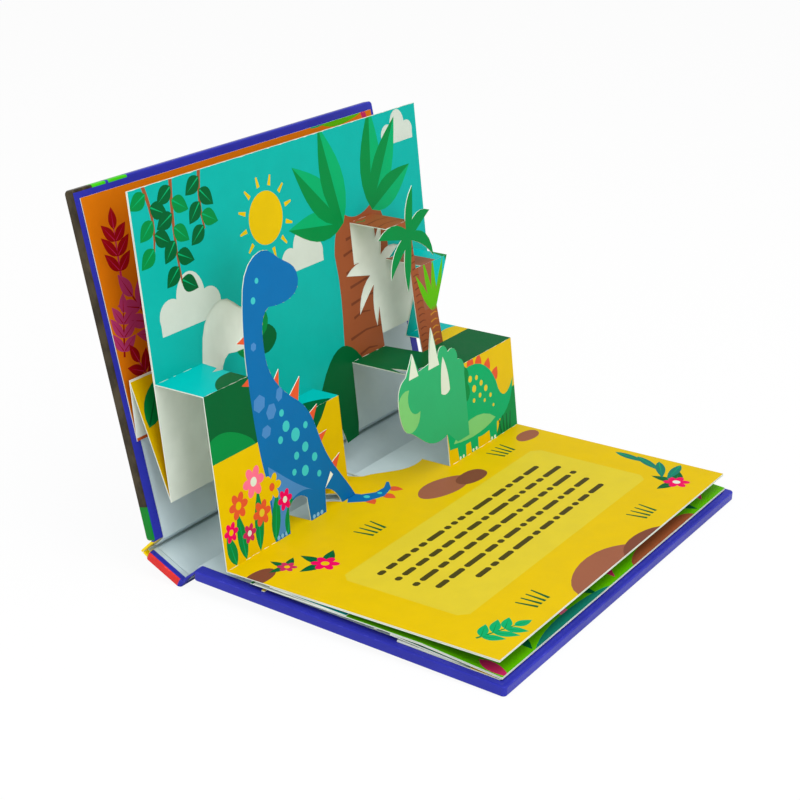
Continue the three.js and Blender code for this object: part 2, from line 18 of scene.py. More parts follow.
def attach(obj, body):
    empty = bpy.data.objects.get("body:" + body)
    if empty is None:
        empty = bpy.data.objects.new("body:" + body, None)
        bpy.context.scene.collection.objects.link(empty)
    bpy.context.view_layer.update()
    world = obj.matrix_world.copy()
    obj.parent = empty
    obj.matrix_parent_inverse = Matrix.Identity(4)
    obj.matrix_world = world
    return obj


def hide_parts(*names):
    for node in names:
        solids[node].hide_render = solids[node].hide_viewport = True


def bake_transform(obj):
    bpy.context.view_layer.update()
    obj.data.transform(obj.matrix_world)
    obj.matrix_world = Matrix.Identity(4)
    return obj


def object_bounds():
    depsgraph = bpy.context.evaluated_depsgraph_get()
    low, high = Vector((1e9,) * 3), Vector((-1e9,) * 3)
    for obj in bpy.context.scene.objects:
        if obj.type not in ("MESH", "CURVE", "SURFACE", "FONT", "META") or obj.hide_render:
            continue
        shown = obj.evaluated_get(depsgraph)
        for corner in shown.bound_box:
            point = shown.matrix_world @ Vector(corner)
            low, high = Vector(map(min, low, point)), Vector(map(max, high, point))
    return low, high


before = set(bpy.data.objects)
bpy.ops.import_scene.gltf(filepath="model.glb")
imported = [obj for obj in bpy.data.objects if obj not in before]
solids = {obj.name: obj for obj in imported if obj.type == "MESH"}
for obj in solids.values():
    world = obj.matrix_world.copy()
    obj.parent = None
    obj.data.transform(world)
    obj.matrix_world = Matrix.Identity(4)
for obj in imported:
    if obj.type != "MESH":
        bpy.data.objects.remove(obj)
cad_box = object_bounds()
print("solids:", ", ".join(sorted(solids)))

# %% [markdown]
# ## The camera
# The photograph was taken from the left of the reader, a little above the book, with a long lens. A camera that
# stands at the same point, with the same angle of view, shows every fold where the photograph shows it. It is set
# up before anything else.

# %% Camera
AZIMUTH = -56.413
ELEVATION = 21.534

lens = bpy.data.cameras.new("camera")
lens.lens = 76.71
lens.sensor_width = 36
camera = bpy.data.objects.new("camera", lens)
camera.location = (-0.622490, -0.399631, 0.357826)
camera.rotation_euler = (math.radians(90 - ELEVATION), 0, math.radians(AZIMUTH))
bpy.context.collection.objects.link(camera)
bpy.context.scene.camera = camera
print("camera looks from", [round(v, 3) for v in camera.location])

# %% [markdown]
# ## Floor and light
# A product shot stands on a plain pale sweep under large soft lamps. The floor is one flat sheet. To the camera it
# is mostly plain white, so the book stands free, and it keeps a trace of the book's own shadow, which tells the eye
# that the book touches it. Large lamps give soft shadows in the boxes, as in the photograph.

# %% Helpers for nodes
def srgb(*levels):
    """A colour as it is written in print, 0 to 255, as the linear value that Blender works in."""
    channels = [level / 255 for level in levels]
    return tuple(c / 12.92 if c <= 0.04045 else ((c + 0.055) / 1.055) ** 2.4 for c in channels) + (1.0,)


class Field:
    """One socket of a material. Sums and products of fields add the Math nodes for them."""

    def __init__(self, tree, socket):
        self.tree = tree
        self.socket = socket

    def node(self, kind, settings, values, output=0):
        """Adds any node: its settings first, then the values or links of its inputs."""
        new = self.tree.nodes.new(kind)
        for name, value in settings.items():
            if name == "stops":
                ramp = new.color_ramp
                while len(ramp.elements) < len(value):
                    ramp.elements.new(1.0)
                for stop, (place, colour) in zip(ramp.elements, value):
                    stop.position = place
                    stop.color = colour
            else:
                setattr(new, name, value)
        for name, value in values.items():
            feed(self.tree, new.inputs[name], value)
        return Field(self.tree, new.outputs[output])

    def maths(self, operation, *values):
        return self.node("ShaderNodeMath", {"operation": operation}, dict(enumerate(values)))

    def __add__(self, other):
        return self.maths("ADD", self, other)

    def __sub__(self, other):
        return self.maths("SUBTRACT", self, other)

    def __mul__(self, other):
        return self.maths("MULTIPLY", self, other)

    def __rsub__(self, other):
        return self.maths("SUBTRACT", other, self)

    __radd__ = __add__
    __rmul__ = __mul__

    def step(self, low, high):
        """0 below low, 1 above high, and smooth between them."""
        settings = {"interpolation_type": "SMOOTHSTEP"}
        return self.node("ShaderNodeMapRange", settings, {"Value": self, "From Min": low, "From Max": high})

    def mix(self, below, above):
        """Two colours, mixed by this field."""
        settings = {"data_type": "RGBA"}
        return self.node("ShaderNodeMix", settings, {"Factor": self, 6: below, 7: above}, 2)

    def noise(self, scale, detail=2.0, rough=0.5, stretch=None):
        """Cloudy noise on this field's coordinates, with scale in patches a metre."""
        place = self
        if stretch:
            place = self.node("ShaderNodeMapping", {}, {"Vector": self, "Scale": stretch})
        values = {"Vector": place, "Scale": scale, "Detail": detail, "Roughness": rough}
        return place.node("ShaderNodeTexNoise", {}, values)


def feed(tree, socket, value):
    if isinstance(value, Field):
        tree.links.new(value.socket, socket)
    else:
        socket.default_value = value


def finish_named(name, roughness, coat=0.0, coat_roughness=0.2, shine=0.5):
    """A new material with its shader, and a field of the Object coordinates to build on."""
    made = bpy.data.materials.new(name)
    made.use_nodes = True
    tree = made.node_tree
    shader = tree.nodes["Principled BSDF"]
    shader.inputs["Roughness"].default_value = roughness
    shader.inputs["Coat Weight"].default_value = coat
    shader.inputs["Coat Roughness"].default_value = coat_roughness
    shader.inputs["Specular IOR Level"].default_value = shine
    place = Field(tree, tree.nodes.new("ShaderNodeTexCoord").outputs["Object"])
    return made, shader, place


def bumped(shader, height, distance, strength=1.0):
    values = {"Height": height, "Distance": distance, "Strength": strength}
    feed(height.tree, shader.inputs["Normal"], height.node("ShaderNodeBump", {}, values))


def colour_of(shader, value):
    feed(value.tree, shader.inputs["Base Color"], value)


def rough_of(shader, value):
    feed(value.tree, shader.inputs["Roughness"], value)


print("helpers ready: fields, noise, steps and mixes")

# %% Floor, lamps and world
shape = bmesh.new()
bmesh.ops.create_grid(shape, x_segments=1, y_segments=1, size=6)
floor_mesh = bpy.data.meshes.new("floor")
shape.to_mesh(floor_mesh)
shape.free()
floor = bpy.data.objects.new("floor", floor_mesh)
bpy.context.collection.objects.link(floor)
floor.location.z = cad_box[0][2] - 0.0002
sweep = bpy.data.materials.new("pale_sweep")
sweep.use_nodes = True
nodes = sweep.node_tree.nodes
links = sweep.node_tree.links
nodes["Principled BSDF"].inputs["Base Color"].default_value = (0.86, 0.86, 0.86, 1)
nodes["Principled BSDF"].inputs["Roughness"].default_value = 0.9
nodes["Principled BSDF"].inputs["Specular IOR Level"].default_value = 0.0
glow = nodes.new("ShaderNodeEmission")
seen = nodes.new("ShaderNodeLightPath")
share = nodes.new("ShaderNodeMath")
share.operation = "MULTIPLY"
share.inputs[1].default_value = 0.93
blend = nodes.new("ShaderNodeMixShader")
links.new(seen.outputs["Is Camera Ray"], share.inputs[0])
links.new(share.outputs[0], blend.inputs["Fac"])
links.new(nodes["Principled BSDF"].outputs[0], blend.inputs[1])
links.new(glow.outputs[0], blend.inputs[2])
links.new(blend.outputs[0], nodes["Material Output"].inputs["Surface"])
floor.data.materials.append(sweep)


def lamp(name, place, aim, size, power):
    """A square soft lamp at a place, turned to a point."""
    light = bpy.data.lights.new(name, "AREA")
    light.shape = "SQUARE"
    light.size = size
    light.energy = power
    made = bpy.data.objects.new(name, light)
    made.location = place
    made.rotation_euler = (Vector(aim) - Vector(place)).to_track_quat("-Z", "Y").to_euler()
    bpy.context.collection.objects.link(made)
    return made


MIDDLE = (0, 0, 0.06)
lamp("lamp_over", (-0.25, -0.35, 1.5), MIDDLE, 1.3, 13)
lamp("lamp_reader", (-0.5, -1.5, 0.9), MIDDLE, 1.2, 11)
lamp("lamp_left", (-1.6, -0.1, 0.7), MIDDLE, 1.0, 6)

world = bpy.data.worlds.new("studio")
bpy.context.scene.world = world
world.use_nodes = True
nodes = world.node_tree.nodes
links = world.node_tree.links
seen = nodes.new("ShaderNodeLightPath")
level = nodes.new("ShaderNodeMapRange")
level.inputs["To Min"].default_value = 0.58
links.new(seen.outputs["Is Camera Ray"], level.inputs["Value"])
links.new(level.outputs[0], nodes["Background"].inputs["Strength"])
nodes["Background"].inputs["Color"].default_value = (1, 1, 1, 1)
bpy.context.scene.view_settings.view_transform = "Standard"
print("floor at", round(floor.location.z, 5), "with three lamps")

# %% [markdown]
# ## Measures of the book
# The drawing is done in millimetres on the card, as the printer does it. A panel is a flat part of a sheet, with an
# origin, a direction that runs up or along it, and the side that carries the ink. The numbers repeat the ones that
# the solids were made with.

# %% Measures
PAGE_WIDTH = 218
PAGE_DEPTH = 165
CARD = 0.4
LEAN = math.radians(6.5)
GUTTER_HEIGHT = 14
LEFT = {"height": 80.5, "depth": 26.8}
MIDDLE_BOX = {"height": 44.4, "depth": 15.2}
RIGHT = {"height": 47.8, "depth": 47.5}
PALM_DEPTH = 21.5
HIGH_TOP = 117
LOW_TOP = 91.6
SHIFT = Vector((-109, 58.9917, 0.022))


class Panel:
    """A flat part of a card: its origin in the section, its direction and the side with the ink."""

    def __init__(self, y, z, along, ink, first=0.0):
        self.along = Vector((0, *along)).normalized()
        self.ink = Vector((0, *ink)).normalized()
        self.origin = Vector((0, y, z)) - self.along * first

    def place(self, x, v, above=0.0):
        """A point on the panel as a point in the frame, in metres."""
        point = self.origin + Vector((x, 0, 0)) + self.along * v + self.ink * above
        return (point + SHIFT) / 1000

    def read(self, point):
        """A point in the frame as x, distance along, and height above the panel."""
        local = Vector(point) * 1000 - SHIFT - self.origin
        return local.x, local.dot(self.along), local.dot(self.ink)


def up_page(height, depth):
    """The section point that is so far up the standing page and so far out from it."""
    return math.sin(LEAN) * height - depth, GUTTER_HEIGHT + math.cos(LEAN) * height


STANDING = (math.sin(LEAN), math.cos(LEAN))
TO_READER = (-math.cos(LEAN), math.sin(LEAN))
panels = {
    "page_a": Panel(*up_page(0, 0), STANDING, TO_READER),
    "page_b": Panel(*up_page(0, 0), (-1, 0), (0, 1)),
    "left_front": Panel(*up_page(0, LEFT["depth"]), STANDING, TO_READER),
    "left_top": Panel(*up_page(LEFT["height"], LEFT["depth"]), (1, 0), (0, 1)),
    "middle_front": Panel(*up_page(0, MIDDLE_BOX["depth"]), STANDING, TO_READER),
    "middle_top": Panel(*up_page(MIDDLE_BOX["height"], MIDDLE_BOX["depth"]), (1, 0), (0, 1)),
    "right_front": Panel(*up_page(0, RIGHT["depth"]), STANDING, TO_READER),
    "right_top": Panel(*up_page(RIGHT["height"], RIGHT["depth"]), (1, 0), (0, 1)),
    "palm": Panel(*up_page(0, PALM_DEPTH), STANDING, TO_READER),
    "high_top": Panel(*up_page(HIGH_TOP, PALM_DEPTH), (1, 0), (0, 1)),
    "low_top": Panel(*up_page(LOW_TOP, PALM_DEPTH), (1, 0), (0, 1)),
}
print("panels of the open spread:", ", ".join(panels))

# %% [markdown]
# ## Inks
# A picture book like this is printed in a few flat, strong colours. Each ink gets a name here and is used by name. One
# of them is a copy of teal that is painted lighter: painted light for the box tops.

# %% Inks
INKS = {
    "teal": srgb(8, 170, 160),
    # The box tops are printed teal; this copy is painted lighter, as painted light on faces that look up to the lamps.
    "teal_top": srgb(0, 183, 178),
    "yellow": srgb(218, 183, 0),
    "pale_yellow": srgb(214, 192, 45),
    "blue": srgb(8, 104, 166),
    "light_blue": srgb(70, 130, 190),
    "pale_blue": srgb(130, 180, 215),
    "teal_green": srgb(20, 120, 100),
    "ochre": srgb(196, 130, 40),
    "deep_blue": srgb(0, 100, 180),
    "aqua": srgb(60, 190, 190),
    "orange_red": srgb(215, 85, 45),
    "dark_green": srgb(0, 92, 46),
    "leaf_green": srgb(0, 132, 62),
    "bright_green": srgb(0, 165, 100),
    "sea_green": srgb(44, 168, 108),
    "pale_green": srgb(120, 195, 115),
    "lime": srgb(90, 180, 0),
    "brown": srgb(150, 80, 45),
    "dark_brown": srgb(115, 58, 34),
    "stone": srgb(150, 90, 65),
    "stone_dark": srgb(120, 68, 50),
    "pink": srgb(225, 0, 90),
    "plum": srgb(176, 56, 110),
    "dark_red": srgb(150, 12, 20),
    "red_brown": srgb(190, 80, 30),
    "rose": srgb(240, 110, 140),
    "white": srgb(214, 224, 207),
    "mist": srgb(198, 208, 196),
    "orange": srgb(209, 115, 10),
    "magenta": srgb(190, 40, 90),
    "red": srgb(220, 45, 45),
    "indigo": srgb(50, 54, 165),
    "bar": srgb(70, 62, 20),
    "crack": srgb(226, 226, 214),
    "ground_bark": srgb(80, 70, 52),
}
print(len(INKS), "inks")

# %% [markdown]
# ## Printing on a panel
# Ink has no thickness to speak of, so a print is one flat skin, a hair above the card. The skin starts as a copy of
# the card's own printed faces, which gives it every die-cut hole and edge. Then the outlines of the drawing divide
# it, as a craft knife would, and each small part takes the colour of the top shape over it. A material could draw
# the shapes too, but edges cut in the skin stay sharp at any distance.

# %% The printing press
INK_LIFT = 0.05


def printed_faces(solid, panel):
    """The faces of a solid that lie on a panel's ink side, as triangles in (x, v)."""
    flat = []
    for face in solid.data.polygons:
        if face.normal.dot(panel.ink) < 0.999:
            continue
        corners = [panel.read(solid.data.vertices[i].co) for i in face.vertices]
        if all(abs(corner[2]) < 0.05 for corner in corners):
            flat.append([(x, v) for x, v, _ in corners])
    return flat


def wound_left(outline):
    """The same outline, turned so that its inside is on the left, which is how the cutter tells inside from out."""
    area = sum(a[0] * b[1] - b[0] * a[1] for a, b in zip(outline, outline[1:] + outline[:1]))
    return outline if area > 0 else outline[::-1]


def holds(outline, x, v):
    """Whether a point lies inside an outline: it does if a line from it crosses the outline an odd number of times."""
    inside = False
    for (x0, v0), (x1, v1) in zip(outline, outline[1:] + outline[:1]):
        if (v0 > v) != (v1 > v) and x < x0 + (x1 - x0) * (v - v0) / (v1 - v0):
            inside = not inside
    return inside


def print_panel(skin, ink_layer, solid, panel, ground, shapes):
    """Adds one panel to a skin: the ground colour, divided and coloured by the shapes, bottom first."""
    card = printed_faces(solid, panel)
    outlines = card + [outline for _, outline in shapes]
    places, loops = [], []
    for outline in outlines:
        first = len(places)
        places += [Vector(point) for point in wound_left(outline)]
        loops.append(list(range(first, len(places))))
    points, _, faces, _, _, sources = delaunay_2d_cdt(places, [], loops, 1, 1e-4)
    corners = [skin.verts.new(panel.place(p.x, p.y, INK_LIFT)) for p in points]
    for face, source in zip(faces, sources):
        middle = sum((points[i] for i in face), Vector((0, 0))) / len(face)
        over = [index for index in source if holds(outlines[index], *middle)]
        if not any(index < len(card) for index in over):
            continue
        top = max(over) - len(card)
        colour = INKS[shapes[top][0] if top >= 0 else ground]
        made = skin.faces.new([corners[i] for i in face])
        made.normal_update()
        if made.normal.dot(panel.ink) < 0:
            made.normal_flip()
        for loop in made.loops:
            loop[ink_layer] = colour
    return len(card)


def press(name, solid, sheets, finish):
    """Prints all panels of one sheet: sheets is a list of panel, ground colour and shapes."""
    skin = bmesh.new()
    ink_layer = skin.loops.layers.float_color.new("ink")
    for panel, ground, shapes in sheets:
        print_panel(skin, ink_layer, solid, panel, ground, shapes)
    loose = [vert for vert in skin.verts if not vert.link_faces]
    bmesh.ops.delete(skin, geom=loose, context="VERTS")
    mesh = bpy.data.meshes.new(name)
    skin.to_mesh(mesh)
    skin.free()
    made = bpy.data.objects.new(name, mesh)
    bpy.context.collection.objects.link(made)
    mesh.materials.append(finish)
    print(name, "has", len(mesh.polygons), "faces of ink")
    return made


# %% [markdown]
# ## The printed card
# The ink is offset print on coated card: flat colour with a faint mottle, where the ink took unevenly, over the fine
# tooth of the paper. A thin satin varnish gives it a soft shine. The colour comes from the skin, and the mottle and
# the tooth come from noise on the piece's own coordinates.

# %% Ink finish
def ink_finish(name):
    made, shader, place = finish_named(name, 0.42, coat=0.01, coat_roughness=0.3, shine=0.04)
    ink = place.node("ShaderNodeAttribute", {"attribute_name": "ink"}, {})
    mottle = place.noise(90, 3, 0.6).step(0.3, 0.7)
    speckle = place.noise(2600, 2, 0.6).step(0.25, 0.75)
    dark = ink.node("ShaderNodeHueSaturation", {}, {"Value": 0.93, "Color": ink})
    colour_of(shader, (mottle * 0.6 + speckle * 0.4).mix(dark, ink))
    rough_of(shader, mottle * 0.06 + speckle * 0.08 + 0.34)
    bumped(shader, speckle, 0.00002)
    return made


inked = ink_finish("satin_ink")
print("finish:", inked.name)

# %% [markdown]
# ## Shapes to draw with
# The drawing needs only a few kinds of shape: rounded blobs, leaves, tapered strokes and rows of dots. Each helper
# returns outlines with their ink, so a picture is a list that is read from the back to the front.

# %% Shapes
def blob(ink, x, v, wide, tall, turn=0.0, points=26, wobble=0.0, seed=1):
    """A rounded patch with a slightly uneven edge."""
    dice = random.Random(seed)
    phases = [dice.uniform(0, math.tau) for _ in range(3)]
    outline = []
    for i in range(points):
        a = math.tau * i / points
        swell = 1 + wobble * sum(math.sin((k + 2) * a + phase) for k, phase in enumerate(phases)) / 3
        px, pv = wide * swell * math.cos(a), tall * swell * math.sin(a)
        c, s = math.cos(math.radians(turn)), math.sin(math.radians(turn))
        outline.append((x + px * c - pv * s, v + px * s + pv * c))
    return [(ink, outline)]


def leaf(ink, x, v, length, width, turn, vein=None, bow=0.0, steps=8):
    """A pointed leaf from its stalk, with a paler or darker vein if one is named."""
    c, s = math.cos(math.radians(turn)), math.sin(math.radians(turn))

    def at(along, across):
        across += bow * math.sin(math.pi * along)
        return x + (along * length) * c - across * s, v + (along * length) * s + across * c

    half = [math.sin(math.pi * (i / steps) ** 0.8) * width / 2 for i in range(steps + 1)]
    upper = [at(i / steps, half[i]) for i in range(steps + 1)]
    lower = [at(i / steps, -half[i]) for i in range(1, steps)]
    shapes = [(ink, upper + lower[::-1])]
    if vein:
        shapes.append((vein, [at(0.06, -0.05 * width), at(0.9, 0.0), at(0.06, 0.05 * width)]))
    return shapes


def stroke(ink, points, wide, end=0.0):
    """A tapered stroke along a few points."""
    path = [Vector(p) for p in points]
    left, right = [], []
    for i, point in enumerate(path):
        ahead = path[min(i + 1, len(path) - 1)] - path[max(i - 1, 0)]
        side = Vector((-ahead.y, ahead.x)).normalized()
        half = (wide + (end - wide) * i / (len(path) - 1)) / 2
        left.append(tuple(point + side * half))
        right.append(tuple(point - side * half))
    return [(ink, left + right[::-1])]


def box_shape(ink, x0, x1, v0, v1):
    return [(ink, [(x0, v0), (x1, v0), (x1, v1), (x0, v1)])]


def hill(ink, x0, x1, low, crest, lean=0.5, points=18):
    """A hill on a straight foot, with its top at a share of its width."""
    outline = [(x0, low)]
    for i in range(points + 1):
        t = i / points
        bent = t ** (math.log(0.5) / math.log(lean))
        outline.append((x0 + (x1 - x0) * t, low + crest * math.sin(math.pi * bent) ** 0.7))
    outline.append((x1, low - 0.01))
    return [(ink, outline)]


def bezier(start, turns, steps=7):
    """A run of straight and curved edges: each turn holds its end, or its one or two handles and its end."""
    outline = [start]
    for turn in turns:
        a, b = Vector(outline[-1]), Vector(turn[-1])
        for i in range(1, steps + 1 if len(turn) > 1 else 2):
            u = i / steps if len(turn) > 1 else 1
            if len(turn) == 3:
                c, d = Vector(turn[0]), Vector(turn[1])
                point = a * (1 - u) ** 3 + c * 3 * u * (1 - u) ** 2 + d * 3 * u * u * (1 - u) + b * u**3
            elif len(turn) == 2:
                point = a * (1 - u) ** 2 + Vector(turn[0]) * 2 * u * (1 - u) + b * u * u
            else:
                point = b
            outline.append(tuple(point))
    return outline


def arched_leaf(ink, crown, turn, length, bow, width, vein=None):
    """A palm leaf that bends to one side of its line."""
    c, s = math.cos(math.radians(turn)), math.sin(math.radians(turn))
    root, tip, side = Vector(crown), Vector(crown) + Vector((c, s)) * length, Vector((-s, c))
    middle = root + (tip - root) * 0.55
    far, near = middle + side * (bow + width / 2), middle + side * (bow - width / 2)
    outline = bezier(tuple(root - side * 2), [(tuple(near), tuple(tip)), (tuple(far), tuple(root + side * 2))], 9)
    shapes = [(ink, outline[:-1] + [tuple(root + side * 2)])]
    if vein:
        spine = [root + (tip - root) * u + side * bow * 2 * u * (1 - u) for u in (0.05, 0.3, 0.55, 0.8, 0.95)]
        shapes += stroke(vein, [tuple(p) for p in spine], width * 0.1, 0.1)
    return shapes


def bars(ink, x0, v0, widths, tall, gap):
    """A row of plain bars with cut corners."""
    shapes, x = [], x0
    c = min(tall * 0.3, 4)
    for wide in widths:
        outline = [(x + c, v0), (x + wide - c, v0), (x + wide, v0 + c), (x + wide, v0 + tall - c)]
        outline += [(x + wide - c, v0 + tall), (x + c, v0 + tall), (x, v0 + tall - c), (x, v0 + c)]
        shapes.append((ink, outline))
        x += wide + gap
    return shapes


def cloud(ink, x, v, size):
    """Three puffs on a flat foot."""
    puffs = blob(ink, x - size * 0.66, v + size * 0.4, size * 0.42, size * 0.4)
    puffs += blob(ink, x + size * 0.05, v + size * 0.66, size * 0.5, size * 0.62)
    puffs += blob(ink, x + size * 0.68, v + size * 0.38, size * 0.4, size * 0.38)
    return puffs + box_shape(ink, x - size * 1.06, x + size * 1.06, v, v + size * 0.4)


def hanging_vine(x, v, length, count, seed):
    """A stalk that hangs down from an edge, with round leaves in pairs."""
    dice = random.Random(seed)
    sway = dice.uniform(-4, 4)
    path = [(x + sway * math.sin(2.6 * i / 6), v - length * i / 6) for i in range(7)]
    shapes = stroke("brown", path, 2.2, 1.0)
    for i in range(count):
        u = (i + 0.7) / count
        px, pv = x + sway * math.sin(2.6 * u), v - length * u
        turn = -35 if i % 2 else 215
        ink = "dark_green" if dice.random() < 0.6 else "leaf_green"
        shapes += leaf(ink, px, pv, 12, 8, turn + dice.uniform(-12, 12), "bright_green")
    return shapes


def grass(ink, x, v, size):
    """Four short blades side by side."""
    shapes = []
    for i, lean in enumerate((-0.4, -0.1, 0.1, 0.35)):
        foot = x + (i - 1.5) * abs(size) * 0.32
        shapes += stroke(ink, [(foot, v), (foot + lean * abs(size) * 0.5, v + size)], abs(size) * 0.17, abs(size) * 0.09)
    return shapes


def rosette(petal, heart, x, v, size, count=6):
    """A flower seen from the front."""
    shapes = []
    for i in range(count):
        a = math.tau * i / count
        shapes += blob(petal, x + size * 0.6 * math.cos(a), v + size * 0.6 * math.sin(a), size * 0.42, size * 0.3, math.degrees(a), 12)
    return shapes + blob(heart, x, v, size * 0.3, size * 0.3, 0, 12)


def blossom(petal, heart, x, v, size):
    """A flower on the ground, between three leaves."""
    shapes = []
    for turn in (-160, -90, -20):
        shapes += leaf("dark_green", x, v, size * 2.1, size * 0.8, turn, "leaf_green")
    return shapes + rosette(petal, heart, x, v, size)


def leaf_sprig(stem, ink, vein, x, v, size, turn):
    """A stem with pointed leaves in pairs and one at its tip."""
    c, s = math.cos(math.radians(turn)), math.sin(math.radians(turn))
    shapes = stroke(stem, [(x, v), (x + size * c, v + size * s)], size * 0.05, size * 0.02)
    for along, long in ((0.1, 0.44), (0.35, 0.48), (0.6, 0.42)):
        for side in (1, -1):
            foot = x + along * size * c, v + along * size * s
            shapes += leaf(ink, *foot, size * long, size * 0.2, turn + side * 44, vein)
    return shapes + leaf(ink, x + 0.8 * size * c, v + 0.8 * size * s, size * 0.38, size * 0.2, turn, vein)


def worn_fold(x0, x1, v, seed, side=1):
    """Short thin lines of bare card, where the ink has cracked along a fold."""
    dice = random.Random(seed)
    shapes, x = [], x0 + dice.uniform(0, 3)
    while x < x1 - 2:
        end = min(x + dice.uniform(1.5, 7), x1)
        wide = dice.uniform(0.08, 0.24)
        shapes.append(("crack", [(x, v - side * 0.4), (x, v), ((x + end) / 2, v + side * wide), (end, v), (end, v - side * 0.4)]))
        x = end + dice.uniform(1.5, 9)
    return shapes


print("drawing shapes ready")

# %% [markdown]
# ## The white card
# Behind and under the print the card is plain white. Its backs show inside the boxes, and its cut edges draw the
# white line around every figure. It is smooth and matt, a little uneven in tone, with a fine tooth.

# %% Card finish
def card_finish():
    made, shader, place = finish_named("white_card", 0.6, shine=0.2)
    cloud = place.noise(40, 3, 0.55).step(0.3, 0.7)
    fibre = place.noise(1800, 3, 0.65)
    colour_of(shader, cloud.mix(srgb(212, 219, 206), srgb(228, 234, 222)))
    rough_of(shader, fibre * 0.15 + 0.5)
    bumped(shader, fibre, 0.00003)
    return made


white_card = card_finish()
for name in ("spread_2", "spread_3"):
    solids[name].data.materials.clear()
    solids[name].data.materials.append(white_card)
print("white card on spreads 2 and 3")

# %% [markdown]
# ## The long-necked animal
# The left box carries a tall animal. Its outline is die-cut, so the ink has to meet the cut all the way round: the
# same curves that the cutting die has are drawn again here, and filled with blue. Patches and spots lie on the blue,
# and a row of pointed plates is printed under the body and sticks out beyond it.

# %% Long-necked animal
def neck_outline():
    fold = LEFT["height"]
    return bezier(
        (35, -0.4),
        [
            ((34, 30),),
            ((31, 44), (30, fold - 20), (30, fold)),
            ((30, fold + 14), (31, fold + 26), (34, fold + 38)),
            ((37, fold + 50), (50, fold + 56), (58, fold + 48)),
            ((64, fold + 42), (73, fold + 42), (73, fold + 33)),
            ((73, fold + 25), (60, fold + 24), (50, fold + 26)),
            ((43, fold + 24), (43, fold + 14), (43.5, fold + 5)),
            ((44, fold - 5), (52, fold - 14), (62, fold - 21)),
            ((74, fold - 30), (73, 40), (79, 28)),
            ((84, 18), (92, 10), (98, -0.4)),
            ((87, -0.4),),
            ((84, 6), (80, 10), (75, 11)),
            ((74, -0.4),),
            ((62, -0.4),),
            ((61, 12),),
            ((54, 18), (47, 12)),
            ((46, -0.4),),
        ],
    )


def plates(ink):
    fold = LEFT["height"]
    seats = [(30.5, fold + 16, 180, 6), (31, fold - 3, 182, 6), (48, fold - 10, 62, 9), (61, fold - 18, 56, 10)]
    seats += [(71, fold - 32, 40, 8), (75, 36, 22, 8), (84, 20, 40, 8)]
    shapes = []
    for x, v, turn, size in seats:
        out = Vector((math.cos(math.radians(turn)), math.sin(math.radians(turn))))
        side = Vector((-out.y, out.x))
        corners = [-side * 0.55 - out * 0.5, out * 0.95, side * 0.55 - out * 0.5]
        shapes.append((ink, [tuple(Vector((x, v)) + corner * size) for corner in corners]))
    return shapes


def long_neck():
    shapes = plates("orange_red")
    shapes.append(("blue", neck_outline()))
    patches = [(35.5, 66, 9, 8, 20), (43, 60, 8, 7, 50), (38, 52, 7, 6, 10), (50, 66, 7, 5, 70), (36.4, 92, 4, 4, 15)]
    for x, v, wide, tall, turn in patches:
        shapes += blob("light_blue", x, v, wide / 2, tall / 2, turn, 6)
    belly = bezier((36, 36), [((44, 30), (52, 22), (66, 14)), ((58, 19), (47, 14)), ((44, 2),), ((35.4, 2),)])
    shapes.append(("light_blue", belly))
    spots = [(52, 50, 2.6), (58, 44, 3.2), (47, 45, 1.8), (64, 36, 2.4), (57, 34, 1.9), (70, 29, 2.1), (62, 25, 2.6)]
    spots += [(50, 57, 1.7), (66, 46, 1.7), (72, 20, 1.6), (54, 27, 1.6), (40, 112, 1.6), (44, 120, 1.3)]
    for x, v, size in spots:
        shapes += blob("aqua", x, v, size, size, 0, 14)
    for x in (36.8, 39.6, 42.6, 64, 67, 70):
        shapes += blob("pale_blue", x + 0.6, 1.0, 1.1, 1.1, 0, 10)
    return shapes


def flower_bed():
    """A patch of flowers that stands in front of the animal."""
    shapes = []
    for x, v, size, turn in ((14, 0, 24, 96), (24, 0, 30, 84), (35, 0, 24, 78), (44, 0, 18, 70), (7, 0, 17, 104)):
        shapes += leaf("leaf_green", x, v, size, 6.5, turn, "bright_green")
    for x, v, size, petal, heart in (
        (13, 26, 6.4, "orange_red", "yellow"),
        (25, 33, 7.4, "rose", "white"),
        (37, 26, 6.6, "yellow", "orange_red"),
        (45, 17, 5.2, "pink", "white"),
        (6, 16, 4.8, "pink", "yellow"),
        (28, 17, 6.2, "orange_red", "pale_yellow"),
        (18, 11, 4.6, "magenta", "white"),
    ):
        shapes += rosette(petal, heart, x, v, size)
    return shapes


left_front = hill("dark_green", -14, 46, 49.5, 44, 0.4)
left_front += box_shape("dark_green", -1, 37, 49.5, 81)
left_front += hill("leaf_green", -6, 30, 49.4, 12, 0.35)
left_front += long_neck() + flower_bed() + worn_fold(0, 30, LEFT["height"], 3, -1) + worn_fold(0, 36, 0, 4)
left_top = hill("dark_green", 9, 44, -1, 11, 0.5) + worn_fold(0, 30, 0, 5) + worn_fold(0, 32, 26.6, 6, -1)
print("left box:", len(left_front), "shapes on its front")

# %% [markdown]
# ## The horned animal
# The right box shows a round, four-legged animal with horns. Its head is cut free at the left of the box, with the
# horns above the fold. Its body is only printed on the box front, so its ink has no cut edge to meet there.

# %% Horned animal
def head_outline():
    fold = RIGHT["height"]
    return bezier(
        (160, 10),
        [
            ((152, 17),),
            ((146, 15), (138, 15), (131, 20)),
            ((124, 25), (121, 28), (117, 29)),
            ((112, 32), (111, fold - 3), (113, fold + 2)),
            ((115, fold + 7), (120, fold + 8)),
            ((123, fold + 12), (127, fold + 18)),
            ((130, fold + 12), (131, fold + 8)),
            ((141, fold + 9),),
            ((142, fold + 18), (145, fold + 26)),
            ((148, fold + 17), (148.5, fold + 10)),
            ((150, fold + 16), (156, fold + 16), (158, fold + 10)),
            ((162, fold + 13), (167, fold + 9), (166, fold + 4)),
            ((170, fold + 4), (173, fold), (171, fold - 5)),
            ((171, 10),),
        ],
    )


